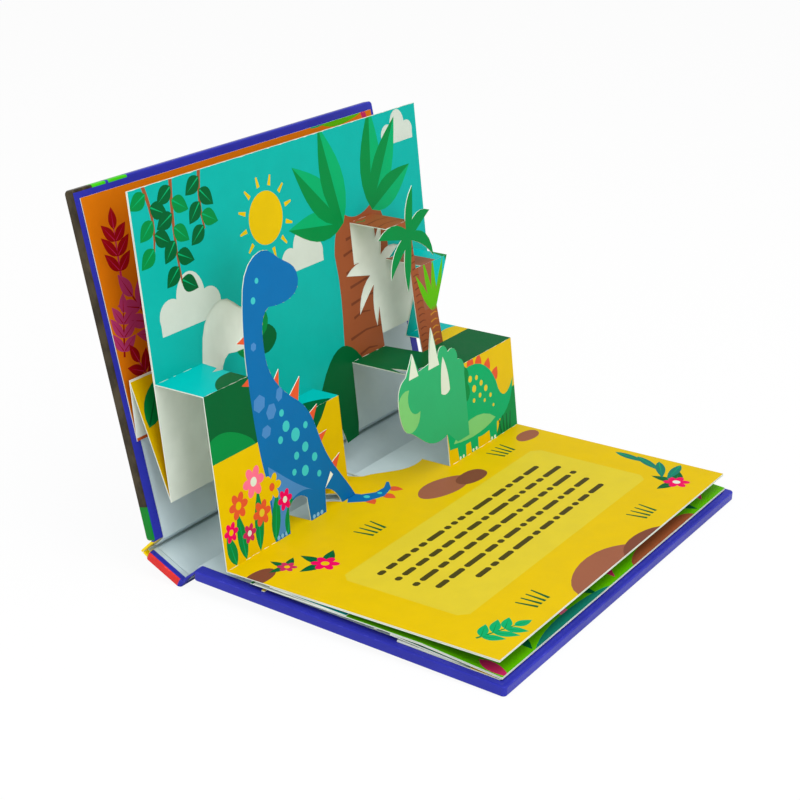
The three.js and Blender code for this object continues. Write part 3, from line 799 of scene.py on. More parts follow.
def horned_animal():
    shapes = []
    for x, v, turn in ((170, 43, 96), (177, 44.5, 88), (184, 43, 78), (191, 39, 62), (197, 33, 50)):
        shapes += leaf("orange_red", x, v - 2.5, 8.5, 6.5, turn)
    body = bezier(
        (152, 8),
        [
            ((148, 30), (158, 45), (176, 45)),
            ((190, 45), (199, 36), (202, 25)),
            ((206, 17), (212, 20), (217, 27)),
            ((215, 15), (208, 9), (198, 8)),
            ((197, -0.2),),
            ((190.5, -0.2),),
            ((190, 6),),
            ((182, 5), (179, 6)),
            ((178.5, -0.2),),
            ((172, -0.2),),
            ((171.5, 6),),
            ((167, 6),),
            ((166.5, -0.2),),
            ((160, -0.2),),
            ((159, 7),),
        ],
    )
    shapes.append(("bright_green", body))
    belly = bezier((156, 10), [((166, 20), (186, 20), (197, 11)), ((186, 7), (170, 7), (156, 10))])
    shapes.append(("pale_green", belly))
    dots = [(176, 38, 1.7), (182, 37, 1.3), (179, 32, 1.9), (186, 33, 1.5), (173, 31, 1.3), (184, 27, 1.3)]
    dots += [(190, 29, 1.7), (178, 26, 1.2), (194, 24, 1.2), (188, 23, 1.0), (171, 37, 1.1), (196, 18, 0.9)]
    for x, v, size in dots:
        shapes += blob("pale_yellow", x, v, size, size, 0, 12)
    fold = RIGHT["height"]
    for x, v in ((159, fold + 4), (166, fold), (170, fold - 7), (170, fold - 15), (166, fold - 23), (160, fold - 29)):
        shapes += blob("leaf_green", x, v, 5, 5.4, 0, 16)
    shapes.append(("sea_green", head_outline()))
    shapes += blob("pale_green", 120, fold - 9, 9.5, 11, 20, 24)
    shapes += blob("sea_green", 127, fold - 4, 7, 8, 0, 20)
    for x, tip, wide in ((127, 18.5, 4.6), (145, 26.5, 5.4)):
        shapes.append(("white", [(x - wide, fold + 6), (x + 0.2, fold + tip), (x + wide * 0.8, fold + 6)]))
    shapes.append(("white", bezier((149, fold - 9), [((150, fold + 4), (153, fold + 9)), ((157, fold + 2), (157, fold - 9)), ((153, fold - 12), (149, fold - 9))])))
    for x in (161, 164, 173.5, 176.5, 192, 195):
        shapes += blob("white", x, 0.9, 0.9, 0.9, 0, 10)
    return shapes


right_front = hill("leaf_green", 196, 232, 0, 22, 0.6) + grass("dark_green", 206, 0.5, 9)
right_front = hill("dark_green", 126, 178, 30, 17.6, 0.3) + right_front + horned_animal()
right_front += worn_fold(171, 218, RIGHT["height"], 7, -1) + worn_fold(151, 218, 0, 8)
right_top = box_shape("dark_green", 106, 220, -1, 27) + hill("dark_green", 140, 196, 26.9, 9, 0.4)
right_top += hill("yellow", 186, 226, 25, 10.5, 0.6) + box_shape("dark_green", 184, 220, 22, 26)
right_top += box_shape("dark_green", 106, 180, 26, 48) + worn_fold(171, 218, 0, 9) + worn_fold(142, 218, 47.3, 10, -1)
print("right box:", len(right_front), "shapes on its front")

# %% [markdown]
# ## The palm
# The palm stands on the right box, tied to the page by two small tops. Trunk, leaves and grass are one piece of
# card, cut along the leaves. Bark rings give the flat inks some life.

# %% Palm
CROWN = (171.5, HIGH_TOP - 8)
LEAVES = [(75, 25, 3, 10), (24, 22, 5, 11), (-36, 25, 8, 10), (172, 27, -5, 12), (224, 26, -5, 10), (260, 28, -2, 9)]


def palm_shapes():
    foot = RIGHT["height"] - 0.4
    shapes = box_shape("stone", 165, 206, foot, LOW_TOP + 1)
    # A patch in the teal copy that is painted lighter, with painted light in it.
    shapes.append(("teal_top", [(193.5, 69), (206, 66), (206, 92), (189, 92)]))
    shapes.append(("leaf_green", [(201, 92.5), (206, 92.5), (206, 74)]))
    shapes.append(("brown", bezier((173.5, foot), [((169.5, foot + 24), (168.5, 110)), ((175, 110),), ((177.5, foot + 26), (183, foot))])))
    shapes.append(("brown", [(182, foot), (194, foot), (191, foot + 21), (177, foot + 21)]))
    dice = random.Random(11)
    for i in range(16):
        v = foot + 2 + i * 3.5
        x = 174.2 - (v - foot) * 0.075
        shapes += stroke("dark_brown", [(x + 0.6, v), (x + 4, v + 0.5), (x + 7 - i * 0.12, v - 0.2)], 0.9, 0.3)
    for i in range(5):
        v = foot + 2.5 + i * 3.7
        shapes += stroke("ochre", [(184 + dice.uniform(-1, 1), v), (188, v + 0.8), (191 - i * 0.2, v + 0.2)], 0.9, 0.4)
    shapes.append(("brown", [(158, HIGH_TOP + 1), (172, HIGH_TOP + 1), (173.5, 108), (166, 110)]))
    for turn, length in ((30, 25), (12, 29), (-4, 27), (-22, 28)):
        shapes += leaf("lime", 188 - turn * 0.06, foot + 19, length, 4.2, 90 + turn)
    for turn, length, bow, width in LEAVES:
        shapes += arched_leaf("leaf_green", CROWN, turn, length + 0.6, bow, width + 0.8)
    return shapes + blob("leaf_green", *CROWN, 3.4, 3.2, 0, 14)


palm = palm_shapes() + worn_fold(156, 172, HIGH_TOP, 12, -1)
high_top = stroke("dark_brown", [(153, 5), (160, 6), (171, 4.5)], 1.0, 0.4) + worn_fold(152, 172, 0, 14)
high_top += stroke("dark_brown", [(153, 12), (163, 13), (171, 11.5)], 1.2, 0.5)
high_top += stroke("leaf_green", [(154, 19), (158, 17), (161, 18.6)], 1.4, 0.5) + worn_fold(152, 172, 21.3, 15, -1)
low_top = box_shape("stone", 174, 193, -1, 23) + [("leaf_green", [(199, -1), (205, -1), (205, 14)])]
low_top += worn_fold(180, 204, 21.3, 17, -1)
print("palm:", len(palm), "shapes")

# %% [markdown]
# ## The two pages and the small box
# The standing page has a teal sky with a sun, clouds, hanging vines, and a tall striped rock with broad leaves on
# top. The lying page is yellow ground with stones, plants and a pale panel. Rows of plain bars on the panel give
# the page its grey rhythm.

# %% Standing page
def banded_rock(x0, x1, low, high):
    outline = bezier(
        (x0 + 4, low),
        [
            ((x0, low + 24), (x0 + 8, low + 40), (x0 + 3, high - 18)),
            ((x0 + 5, high - 3), (x0 + 14, high)),
            (((x0 + x1) / 2, high - 7), (x1 - 10, high + 2)),
            ((x1 + 1, high - 8), (x1 - 2, high - 30)),
            ((x1 + 5, high - 46), (x1, low + 20), (x1 + 2, low)),
        ],
    )
    shapes = [("brown", outline)]
    dice = random.Random(5)
    v = low + 6
    while v < high - 8:
        start, end = x0 + dice.uniform(9, 16), x1 - dice.uniform(5, 24)
        shapes += stroke("dark_brown", [(start, v), ((start + end) / 2, v + 1.6), (end, v + 0.4)], 1.5, 0.5)
        v += dice.uniform(7, 10)
    return shapes


def broad_leaves(x, v, fans):
    """Broad leaves with one dark and one light half."""
    shapes = []
    for turn, length, width in fans:
        shapes += leaf("bright_green", x, v, length, width, turn)
        c, s = math.cos(math.radians(turn)), math.sin(math.radians(turn))
        half = [(x + c * length * u, v + s * length * u) for u in (0, 0.5, 1)]
        dark = leaf("leaf_green", x, v, length, width, turn)[0][1]
        shapes.append(("leaf_green", dark[: len(dark) // 2 + 1] + half[1:2]))
    return shapes


page_a = blob("yellow", 88, 134, 12.5, 12.5, 0, 40)
for i in range(12):
    a = math.tau * i / 12 + 0.2
    page_a += stroke("yellow", [(88 + 15 * math.cos(a), 134 + 15 * math.sin(a)), (88 + 20 * math.cos(a), 134 + 20 * math.sin(a))], 2.2, 1.0)
page_a += cloud("mist", 29, 99, 19) + cloud("mist", 112, 104, 15) + cloud("mist", 200, 148, 13)
page_a += hanging_vine(9, 166, 30, 5, 2) + hanging_vine(27, 166, 47, 8, 3) + hanging_vine(46, 166, 27, 5, 4)
page_a += stroke("brown", [(70, 40), (71.5, 62), (70, 78)], 4.2, 2.6)
for x, v, size, ink in ((64, 80, 8, "leaf_green"), (77, 79, 8.5, "dark_green"), (71, 88, 9.5, "leaf_green")):
    page_a += blob(ink, x, v, size, size * 0.8, 0, 18, 0.06, int(x))
page_a += banded_rock(134, 184, 34, 122)
page_a += broad_leaves(147, 118, ((172, 44, 15), (136, 50, 17), (104, 52, 18)))
page_a += broad_leaves(172, 119, ((84, 52, 18), (58, 50, 17), (24, 40, 15)))
page_a += hill("dark_green", 100, 170, -1, 59, 0.5) + worn_fold(0, 218, 165, 18, -1)

# %% Lying page
page_b = bars("pale_yellow", 22, 71.5, [172], 64, 0)
dice = random.Random(8)
for row, (start, end) in enumerate(((34, 181), (34, 187), (34, 186), (38, 179), (56, 170))):
    widths = []
    while sum(widths) + 2 * len(widths) < end - start - 6:
        widths.append(dice.choice((4, 5, 7, 9, 11, 13, 16)))
    page_b += bars("bar", start, 82.4 + row * 9.2, widths, 2.9, 1.8)
page_b += blob("stone", 96, 168, 30, 16, 0, 30, 0.04, 2) + blob("stone_dark", 128, 170, 20, 11, 0, 26, 0.05, 3)
page_b += blob("stone", 128, 58, 17, 8, 8, 26, 0.05, 4) + blob("stone_dark", 146, 63, 11, 5.6, 4, 22, 0.05, 5)
page_b += blob("stone", 207, 60, 9, 4.6, 0, 20, 0.05, 6) + blob("stone_dark", 4, 42, 9, 5, 0, 20, 0.05, 7)
page_b += blossom("pink", "yellow", 30, 58, 6.5) + blossom("pink", "white", 196, 150, 6.5) + blossom("magenta", "yellow", 18, 46, 4.5)
page_b += leaf_sprig("leaf_green", "bright_green", "leaf_green", 10, 148, 24, 24) + grass("dark_green", 70, 60, -10)
page_b += grass("dark_green", 182, 64, -10) + grass("dark_green", 156, 156, -10) + grass("dark_green", 52, 156, -10)
for x, v, turn in ((214, 120, 120), (214, 132, 150), (216, 143, 175), (213, 108, 100)):
    page_b += leaf("teal_green", x, v, 20, 5, turn, "bright_green")
tail = [(92, 26.6), (96, 33), (104, 37), (112, 36), (118, 32)]
for x, v, turn in ((97, 36, 120), (105, 39.5, 95), (112, 37.5, 70)):
    page_b += leaf("orange_red", x, v - 1.5, 8, 5.5, turn)
page_b += stroke("blue", tail, 11, 1.2) + blob("aqua", 98, 33.4, 1.6, 1.6, 0, 12) + blob("aqua", 105, 36.2, 1.2, 1.2, 0, 12)
page_b += worn_fold(0, 36, 27, 19) + worn_fold(151, 218, 47.7, 20)

middle_front = [("dark_green", [(76, 27), (84, 31), (93, 38), (99, 45), (76, 45)])]
middle_front += worn_fold(78, 108, 44.4, 21, -1)
middle_top = hill("dark_green", 70, 104, -1, 9, 0.45) + worn_fold(78, 108, 0, 22)

# The box tops take the teal that is painted lighter: painted light on the faces that look up.
picture = [
    (panels["page_a"], "teal", page_a),
    (panels["page_b"], "yellow", page_b),
    (panels["left_front"], "yellow", left_front),
    (panels["left_top"], "teal_top", left_top),
    (panels["middle_front"], "yellow", middle_front),
    (panels["middle_top"], "teal_top", middle_top),
    (panels["right_front"], "yellow", right_front),
    (panels["right_top"], "teal_top", right_top),
    (panels["palm"], "leaf_green", palm),
    (panels["high_top"], "brown", high_top),
    (panels["low_top"], "teal_top", low_top),
]
open_print = press("open_spread_print", solids["spread_2"], picture, inked)
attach(open_print, "page_block")

# %% [markdown]
# ## The closed spreads
# Behind the standing page and under the lying one there are three more spreads, nearly closed. Their boxes are
# folded flat and point out to the fore-edge. Only slivers of their pictures show, but those slivers are what tells
# the eye that the book goes on. A folded strip has its ink on one side and bare white card on the other, so the side
# matters as much as the colour.

# %% Sections of the closed spreads
FRONT_LEAN = math.radians(12.9)
FRONT_FOOT = (16.4, 18.1)
BACK_SLOPE = math.radians(2.28)
BACK_FOOT = (-9.9, 6.35)
COVER_THICKNESS = 4.8
COVER_LENGTH = 160
THIRD = ((-1.5, 12.9), (-128, 10.2), (-166, 6.7))


def front_point(upward, in_front):
    across = COVER_THICKNESS + in_front
    y = FRONT_FOOT[0] + math.sin(FRONT_LEAN) * upward - math.cos(FRONT_LEAN) * across
    return y, FRONT_FOOT[1] + math.cos(FRONT_LEAN) * upward + math.sin(FRONT_LEAN) * across


def back_point(outward, above):
    y = BACK_FOOT[0] - math.cos(BACK_SLOPE) * outward - math.sin(BACK_SLOPE) * above
    return y, BACK_FOOT[1] - math.sin(BACK_SLOPE) * outward + math.cos(BACK_SLOPE) * above


def third_point(outward, above=0.0):
    (y0, z0), (y1, z1) = THIRD[:2] if outward < -THIRD[1][0] else THIRD[1:]
    return -outward, z0 + (z1 - z0) * (-outward - y0) / (y1 - y0) + above


def along_from(start, end, back=False, outward=False, first=0.0):
    """The panel of a strip of card: ink on the left of the way from start to end, or on the right if outward."""
    way = Vector((end[0] - start[0], end[1] - start[1])).normalized()
    ink = Vector((way.y, -way.x)) if outward else Vector((-way.y, way.x))
    y, z = Vector(start) - ink * (CARD if back else 0)
    return Panel(y, z, way, -ink if back else ink, first)

# %% First spread, on the front cover
first_page = leaf_sprig("magenta", "dark_red", "magenta", 13, 118, 26, 84)
first_page += leaf_sprig("dark_red", "plum", "dark_red", 30, 84, 34, 118)
first_page += leaf_sprig("dark_red", "plum", "dark_red", 4, 84, 24, 74)
first_page += leaf_sprig("magenta", "dark_red", "magenta", 20, 60, 26, 112)
first_page += blob("red_brown", 60, 168, 40, 12, 0, 30, 0.1, 3) + blob("lime", 190, 157, 18, 4, 0, 24, 0.1, 4)
first_page += leaf("bright_green", 182, 160, 18, 5, 195, "lime") + leaf("magenta", 213, 149, 12, 4, 110)
first_page += hill("red_brown", -20, 90, 40, 26, 0.6) + hill("red_brown", 110, 240, 46, 30, 0.4)
first_sheets = [
    (along_from(front_point(0, 0.7), front_point(COVER_LENGTH, 0.7)), "orange", first_page),
    (Panel(math.cos(LEAN), GUTTER_HEIGHT - math.sin(LEAN), STANDING, (math.cos(LEAN), -math.sin(LEAN))), "ochre",
     hill("red_brown", 20, 160, -2, 70, 0.4) + leaf_sprig("plum", "magenta", "plum", 190, 30, 60, 96)),
]
for fold_a, fold_b, rise, ink in ((46.8, 26, 27.2, "yellow"), (52, 55, 46, "ochre")):
    fold, ridge = front_point(fold_a, 0.7), front_point(fold_a + rise, 4.5)
    foot = up_page(fold_b, 0)
    behind = foot[0] + 0.6 * math.cos(LEAN), foot[1] - 0.6 * math.sin(LEAN)
    bed = leaf("leaf_green", 2, 34, 26, 11, 52, "dark_green") + leaf("leaf_green", 12, 12, 22, 9, 70, "dark_green")
    bed += leaf("bright_green", 30, 20, 30, 10, 100, "leaf_green") + blob("red_brown", 80, 4, 30, 12)
    first_sheets.append((along_from(fold, ridge, back=True), "orange", []))
    first_sheets.append((along_from(behind, ridge), ink, bed))

# %% Third and last spread
near_third = along_from(THIRD[0], THIRD[1], outward=True, first=1.5)
far_third = along_from(THIRD[1], THIRD[2], outward=True, first=1.5 + math.dist(THIRD[0], THIRD[1]))
third_page = []
dice = random.Random(21)
for i in range(9):
    ink = ("magenta", "dark_green", "rose", "dark_green")[i % 4]
    third_page += leaf(ink, 8 + i * 25 + dice.uniform(-4, 4), 152 + dice.uniform(-3, 2), 17, 6.5, dice.uniform(50, 130))
third_page += blob("brown", 150, 168, 34, 9, 0, 30, 0.06, 5) + blob("teal_green", 60, 170, 38, 8, 0, 30, 0.06, 6)
third_page += hill("dark_green", -10, 70, 40, 30) + leaf_sprig("dark_green", "magenta", "rose", 196, 160, 26, -60)
third_sheets = [
    (Panel(0, GUTTER_HEIGHT - 1, (-1, 0), (0, -1)), "dark_green", []),
    (near_third, "lime", third_page),
    (far_third, "lime", third_page),
]
for fold_a, fold_b, out in ((50, 40, 90), (64, 50, 114)):
    ridge = third_point(out, 0.6)
    third_sheets.append((along_from(ridge, (-fold_a, GUTTER_HEIGHT - 0.6)), "teal", []))
    third_sheets.append((along_from(ridge, third_point(fold_b), back=True), "bright_green", []))

last_page = blob("teal_green", 40, 158, 60, 7, 0, 30, 0.05, 8) + blob("lime", 190, 156, 44, 8, 0, 30, 0.05, 9)
last_page += leaf("orange_red", 96, 150, 16, 6, 40) + leaf("orange_red", 120, 152, 16, 6, 120)
last_hung = [
    (along_from(third_point(1.5, -0.6), third_point(128, -0.6), back=True, outward=True), "yellow", []),
    (along_from(third_point(128, -0.6), third_point(166, -0.6), back=True, outward=True), "yellow", []),
]
last_glued = [
    (along_from(back_point(0, 5.35), back_point(COVER_LENGTH, 5.35), outward=True), "yellow", last_page),
    (along_from(back_point(0, 5.35), (-3, 11.85)), "yellow", []),
]
last_strips = []
for fold_b, out in ((46, 151), (50, 96)):
    ridge = back_point(out + BACK_FOOT[0], 5.95)
    back_fold, front_fold = third_point(out - fold_b, -0.6), back_point(fold_b + BACK_FOOT[0], 5.35)
    last_strips.append((along_from(ridge, back_fold), "teal_green", back_fold, ridge, 1))
    last_strips.append((along_from(ridge, front_fold, back=True), "teal", ridge, front_fold, 0))

closed = {
    "spread_1": press("first_spread_print", solids["spread_1"], first_sheets, inked),
    "spread_3": press("third_spread_print", solids["spread_3"], third_sheets, inked),
}
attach(closed["spread_3"], "page_block")

# %% [markdown]
# ## Sheets cut across their bends
# The first spread is glued to the standing page on one side and to the front cover on the other. Paper bends where
# the cover swings, so this sheet may not be stiff. Its card and its ink are copied with cuts at equal steps across
# the gap, where it would bend, and the copies stand in for the solid. The last spread is nearly shut, so there is no
# such gap to cut across. It is taken apart at its folds instead: one page for the block, one for the back cover, and
# four strips, each cut at equal steps.

# %% Bending sheet
def with_cuts(source, name, start, end, steps):
    """A copy of a mesh, with its doubled corners joined and cut by planes at equal steps from start to end."""
    copy = bmesh.new()
    copy.from_mesh(source.data)
    bmesh.ops.remove_doubles(copy, verts=copy.verts, dist=1e-6)
    for i in range(steps + 1):
        whole = copy.verts[:] + copy.edges[:] + copy.faces[:]
        cut = start.lerp(end, i / steps)
        bmesh.ops.bisect_plane(copy, geom=whole, dist=1e-7, plane_co=cut, plane_no=end - start)
    mesh = bpy.data.meshes.new(name)
    copy.to_mesh(mesh)
    copy.free()
    made = bpy.data.objects.new(name, mesh)
    bpy.context.collection.objects.link(made)
    return made


behind_page = Panel(math.cos(LEAN), GUTTER_HEIGHT - math.sin(LEAN), STANDING, (math.cos(LEAN), -math.sin(LEAN)))
near, far = behind_page.place(PAGE_WIDTH / 2, 40, 1.5), behind_page.place(PAGE_WIDTH / 2, 40, 13.5)
bending_card = with_cuts(solids["spread_1"], "first_spread_card", near, far, 14)
bending_card.data.materials.clear()
bending_card.data.materials.append(white_card)
bending_print = with_cuts(closed["spread_1"], "first_spread_ink", near, far, 14)
bending_print.data.materials.clear()
bending_print.data.materials.append(inked)
bpy.data.objects.remove(closed.pop("spread_1"))
for piece in (bending_card, bending_print):
    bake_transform(piece)
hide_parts("spread_1")
print("first spread bends over", round((far - near).length * 1000, 1), "mm")


def card_and_ink(name, solid, sheets, start=None, end=None):
    """Single panels of a folded sheet as card with its ink, cut into 16 steps from start to end if it bends."""
    sheet = bmesh.new()
    ink_layer = sheet.loops.layers.float_color.new("ink")
    for panel, ground, shapes in sheets:
        print_panel(sheet, ink_layer, solid, panel, ground, shapes)
    bmesh.ops.delete(sheet, geom=[vert for vert in sheet.verts if not vert.link_faces], context="VERTS")
    for face in sheet.faces:
        face.material_index = 1
    for panel, _, _ in sheets:
        corners, tops = {}, []
        for outline in printed_faces(solid, panel):
            keys = [(round(x, 3), round(v, 3)) for x, v in outline]
            for key in keys:
                if key not in corners:
                    corners[key] = sheet.verts.new(panel.place(*key))
            tops.append(sheet.faces.new([corners[key] for key in keys]))
        grown = bmesh.ops.extrude_face_region(sheet, geom=tops)["geom"]
        lower = [item for item in grown if isinstance(item, bmesh.types.BMVert)]
        bmesh.ops.translate(sheet, verts=lower, vec=panel.ink * (-CARD / 1000))
    bmesh.ops.recalc_face_normals(sheet, faces=[face for face in sheet.faces if face.material_index == 0])
    if start:
        for i in range(17):
            whole = sheet.verts[:] + sheet.edges[:] + sheet.faces[:]
            cut = start.lerp(end, i / 16)
            bmesh.ops.bisect_plane(sheet, geom=whole, dist=1e-7, plane_co=cut, plane_no=end - start)
    mesh = bpy.data.meshes.new(name)
    sheet.to_mesh(mesh)
    sheet.free()
    made = bpy.data.objects.new(name, mesh)
    bpy.context.collection.objects.link(made)
    mesh.materials.append(white_card)
    mesh.materials.append(inked)
    return made


def in_frame(point):
    return (Vector((PAGE_WIDTH / 2, *point)) + SHIFT) / 1000


last = solids["spread_4"]
hung = card_and_ink("last_page_hung", last, last_hung)
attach(hung, "page_block")
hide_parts("spread_4")
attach(card_and_ink("last_page_glued", last, last_glued), "back_cover")
for i, (panel, ground, first, second, half) in enumerate(last_strips):
    first, second = in_frame(first), in_frame(second)
    start, end = (first, second * 2 - first) if half else (first * 2 - second, second)
    strip = card_and_ink(f"last_strip_{i}", last, [(panel, ground, [])], start, end)
    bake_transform(strip)
print("last spread: two pages and", len(last_strips), "bending strips")

# %% [markdown]
# ## The case
# The case is board under a printed and laminated wrap. The wrap is turned in over the edges, so each edge shows what
# is printed next to it, and a border of it shows inside, round the pale lining. So the wrap's colours go by place:
# each board has its own axes, up, across and along the book, and a colour belongs to a zone of them. Film over the
# print gives a soft gloss, and the print rubs pale where two faces meet.

# %% Zones of the case
def measure(place, direction, origin):
    """Millimetres from a section point along a section direction, as a field."""
    way = Vector((0, *direction)).normalized()
    dot = place.node("ShaderNodeVectorMath", {"operation": "DOT_PRODUCT"}, {0: place, 1: way * 1000}, 1)
    return dot - way.dot(SHIFT + Vector((0, *origin)))


def board_axes(place, length, upward, across, foot):
    """Along the book from its middle, up the board from the gutter edge, and in from the outer face."""
    x = place.node("ShaderNodeVectorMath", {"operation": "DOT_PRODUCT"}, {0: place, 1: (1000, 0, 0)}, 1)
    return x, measure(place, upward, foot), measure(place, across, foot)


def rubbed(place, x, u, a, length, thickness):
    """Where two faces of a board meet, broken up by noise."""
    near_x = 1 - (112.48 - x.maths("ABSOLUTE", x)).step(0.1, 0.6)
    near_u = 1 - x.maths("MINIMUM", u, length - u).step(0.1, 0.6)
    near_a = 1 - x.maths("MINIMUM", a, thickness - a).step(0.1, 0.6)
    meeting = x.maths("MAXIMUM", near_x * near_a, x.maths("MAXIMUM", near_u * near_a, near_x * near_u))
    board = u.step(-0.2, 0.2) * (1 - (u - length).step(-0.2, 0.2))
    return meeting * board * place.noise(240, 4, 0.7).step(0.5, 0.75)


def film(made, shader, place, colour, worn):
    """The common end of the wrap finishes: ink mottle, rubbed edges and a filmed surface."""
    mottle = place.noise(60, 3, 0.6).step(0.3, 0.7)
    shade = colour.node("ShaderNodeHueSaturation", {}, {"Value": 0.88, "Color": colour})
    pale = colour.node("ShaderNodeHueSaturation", {}, {"Saturation": 0.75, "Value": 1.5, "Color": colour})
    colour_of(shader, (worn * 0.4).mix(mottle.mix(shade, colour), pale))
    peel = place.noise(900, 2, 0.5)
    rough_of(shader, worn * 0.3 + peel * 0.12 + 0.24)
    bumped(shader, peel, 0.00004)
    return made


INDIGO = srgb(44, 50, 168)
LINING = srgb(196, 213, 217)
UP_FRONT = (math.sin(FRONT_LEAN), math.cos(FRONT_LEAN))
IN_FRONT = (-math.cos(FRONT_LEAN), math.sin(FRONT_LEAN))
OUT_BACK = (-math.cos(BACK_SLOPE), -math.sin(BACK_SLOPE))
UP_BACK = (-math.sin(BACK_SLOPE), math.cos(BACK_SLOPE))
SPINE_SLOPE = math.radians(26)
ALONG_SPINE = (math.cos(SPINE_SLOPE), math.sin(SPINE_SLOPE))
UP_SPINE = (-math.sin(SPINE_SLOPE), math.cos(SPINE_SLOPE))
SPINE_FOOT = (-1.6, -0.3)


def lined(x, half=106.1):
    """1 where the lining covers the wrap, between the turned-in borders."""
    return 1 - x.maths("ABSOLUTE", x).step(half - 0.1, half + 0.1)


# %% Front wrap
made, shader, place = finish_named("front_film", 0.3, coat=0.03, coat_roughness=0.25, shine=0.14)
x, u, a = board_axes(place, COVER_LENGTH, UP_FRONT, IN_FRONT, FRONT_FOOT)
outer = 1 - a.step(2.2, 2.6)
end_face = 1 - x.step(-111.9, -111.7)
edge = outer.maths("MAXIMUM", outer, u.step(158.5, 158.8))
trunk = end_face.maths("MAXIMUM", end_face, (1 - x.step(-99.8, -99.4)) * edge)
bark = place.noise(300, 3, 0.6, (1, 0.3, 0.3)).step(0.35, 0.65).mix(srgb(46, 39, 26), srgb(70, 61, 43))
wavy = x + place.noise(60, 2, 0.5) * 3
lobes = wavy.step(-98.6, -98.3) * (1 - wavy.step(-90.2, -89.9)) + wavy.step(-88.4, -88.1) * (1 - wavy.step(-76.6, -76.3))
leaves = lobes * edge * u.step(154, 154.3)
colour = trunk.mix(INDIGO, bark)
colour = leaves.mix(colour, srgb(62, 200, 0))
colour = (trunk * (1 - u.step(16.3, 16.7))).mix(colour, srgb(0, 124, 34))
strip = 1 - u.step(-0.4, -0.1)
inner_side = measure(place, (-0.695, -0.719), front_point(0.3, -1.2)).step(-0.1, 0.1)
colour = strip.mix(colour, srgb(235, 205, 0))
colour = (strip * inner_side * lined(x)).mix(colour, LINING)
solids["front_wrap"].data.materials[0] = film(made, shader, place, colour, rubbed(place, x, u, a, 160, 4.8))

# %% Back wrap
made, shader, place = finish_named("back_film", 0.3, coat=0.03, coat_roughness=0.25, shine=0.14)
x, u, a = board_axes(place, COVER_LENGTH, OUT_BACK, UP_BACK, BACK_FOOT)
strip = 1 - u.step(-0.3, 0.0)
inner_side = (0.747 * (a - 3.6) - 0.665 * (u - 0.3)).step(-0.1, 0.1)
colour = place.noise(14, 2, 0.5).step(0.3, 0.7).mix(srgb(40, 44, 156), srgb(48, 52, 172))
colour = (strip * inner_side * lined(x)).mix(colour, LINING)
solids["back_wrap"].data.materials[0] = film(made, shader, place, colour, rubbed(place, x, u, a, 160, 4.8))

# %% Spine wrap
made, shader, place = finish_named("spine_film", 0.3, coat=0.03, coat_roughness=0.25, shine=0.14)
x, u, a = board_axes(place, 22, ALONG_SPINE, UP_SPINE, SPINE_FOOT)
body = a.step(3.6, 3.8)
low_side = (u + 0.218 * a - 0.78).step(-0.1, 0.1) * a.step(2.0, 2.2) * (1 - u.step(0.9, 1.1))
high_side = u.step(19.0, 19.4) * a.step(0.8, 1.0)
inside = body.maths("MAXIMUM", body, body.maths("MAXIMUM", low_side, high_side)) * lined(x, 111.8)
colour = place.noise(14, 2, 0.5).step(0.3, 0.7).mix(srgb(214, 40, 38), srgb(226, 52, 46))
colour = (1 - u.step(1.6, 1.9)).mix(colour, INDIGO)
colour = inside.mix(colour, INDIGO)
colour = u.step(21.2, 21.5).mix(colour, srgb(235, 205, 0))
colour = (inside * lined(x, 109)).mix(colour, LINING)
solids["spine_wrap"].data.materials[0] = film(made, shader, place, colour, rubbed(place, x, u, a, 22, 4.4))
print("wraps filmed: front, back and spine")

# %% [markdown]
# ## Lining and board
# The lining is uncoated paper, pale and a little cool, pasted down over the boards. Damp paste leaves it slightly
# cockled, so it gets a wide soft bump as well as the fine tooth of the paper. The board never shows in a sound book,
# but a cut edge would be grey and full of fibres, so it is made that way.

# %% Lining and board
made, shader, place = finish_named("lining_paper", 0.75, shine=0.2)
cockle = place.noise(18, 2, 0.5)
tooth = place.noise(1600, 3, 0.6)
colour_of(shader, place.noise(35, 4, 0.6).step(0.25, 0.75).mix(srgb(194, 211, 216), srgb(206, 222, 226)))
rough_of(shader, tooth * 0.15 + 0.68)
bumped(shader, cockle * 0.9 + tooth * 0.1, 0.0003)
for name in ("front_lining", "back_lining", "spine_lining"):
    solids[name].data.materials[0] = made

made, shader, place = finish_named("greyboard", 0.9, shine=0.1)
fibre = place.noise(700, 5, 0.7, (1, 6, 6))
colour_of(shader, fibre.step(0.3, 0.7).mix(srgb(120, 112, 100), srgb(164, 156, 142)))
bumped(shader, fibre, 0.0001)
for name in ("front_board", "back_board", "spine_board"):
    solids[name].data.materials[0] = made
print("lining and board finished")

# %% [markdown]
# ## The outside of the case
# The outside is seen only from behind. It carries a quiet evening picture in the same inks as the edges: a trunk at
# one side, hills, a big moon and palms. The spine has bands, and the back has a few leaves.

# %% Outside prints
def small_palm(x, v, size):
    trunk = stroke("dark_brown", [(x, v), (x + size * 0.06, v + size * 0.3), (x + size * 0.02, v + size * 0.62)], size * 0.09, size * 0.05)
    crown = (x + size * 0.02, v + size * 0.62)
    fans = [(90, 0.34, 0.03), (40, 0.36, 0.08), (0, 0.34, 0.12), (-40, 0.3, 0.1), (140, 0.36, -0.08), (180, 0.34, -0.12), (220, 0.3, -0.1)]
    for turn, long, bow in fans:
        trunk += arched_leaf("leaf_green", crown, turn, size * long, size * bow, size * 0.1, "dark_green")
    return trunk


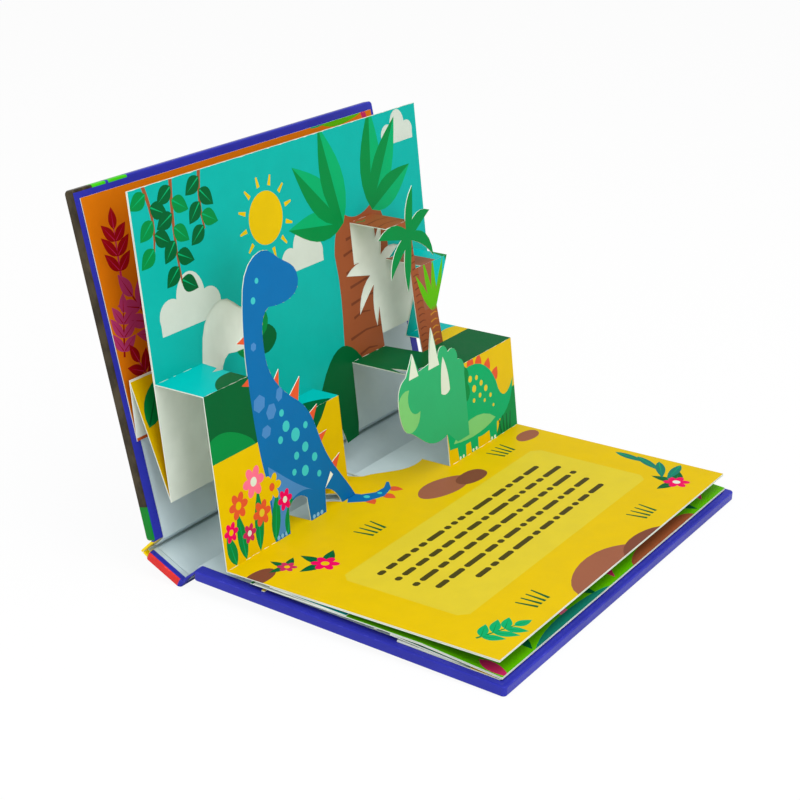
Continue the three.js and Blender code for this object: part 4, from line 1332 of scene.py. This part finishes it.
front_picture = blob("pale_yellow", 66, 118, 22, 22, 0, 40) + cloud("light_blue", 128, 126, 22) + cloud("light_blue", 190, 98, 15)
dice = random.Random(4)
for _ in range(26):
    front_picture += blob("white", dice.uniform(12, 214), dice.uniform(84, 154), 0.7, 0.7, 0, 6)
front_picture += hill("deep_blue", 20, 150, -1, 66, 0.45) + hill("teal_green", 96, 240, -1, 52, 0.55)
front_picture += small_palm(96, 36, 76) + small_palm(180, 40, 56) + hill("dark_green", -30, 130, -1, 34, 0.4)
front_picture += hill("leaf_green", 80, 260, -1, 28, 0.6)
front_picture += [("ground_bark", [(-4, -1), (9.5, -1), (8, 60), (10, 110), (9.5, 162), (-4, 162)])]
for turn in (-20, 8, 34, 62):
    front_picture += leaf("lime", 8, 150, 30, 10, turn - 20, "bright_green")
back_picture = hill("teal_green", -20, 120, -1, 30, 0.5) + hill("dark_green", 80, 250, -1, 40, 0.5)
for x, v, turn in ((30, 40, 80), (60, 30, 110), (160, 52, 84), (190, 44, 70), (110, 24, 96)):
    back_picture += leaf("leaf_green", x, v, 34, 12, turn, "bright_green")
spine_picture = [shape for x in (6, 200) for shape in box_shape("yellow", x, x + 3, -1, 23)]
for x in range(22, 196, 14):
    spine_picture += leaf("orange", x, 11, 10, 5, 24 if x % 4 else -24) + blob("pale_yellow", x - 2, 11, 1.4, 1.4, 0, 10)


def outside_panel(upward, inward, foot):
    """The outer face of a board, with its ink on the far side from the lining."""
    return Panel(*foot, upward, (-inward[0], -inward[1]))


outsides = [
    ("front_picture", "front_wrap", outside_panel(UP_FRONT, IN_FRONT, FRONT_FOOT), "indigo", front_picture, "cover_paper", "front_cover"),
    ("back_picture", "back_wrap", outside_panel(OUT_BACK, UP_BACK, BACK_FOOT), "indigo", back_picture, "cover_paper", "back_cover"),
    ("spine_picture", "spine_wrap", outside_panel(ALONG_SPINE, UP_SPINE, SPINE_FOOT), "red", spine_picture, "spine_paper", "page_block"),
]
for name, node, panel, ground, shapes, slot, body in outsides:
    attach(press(name, solids[node], [(panel, ground, shapes)], inked), body)
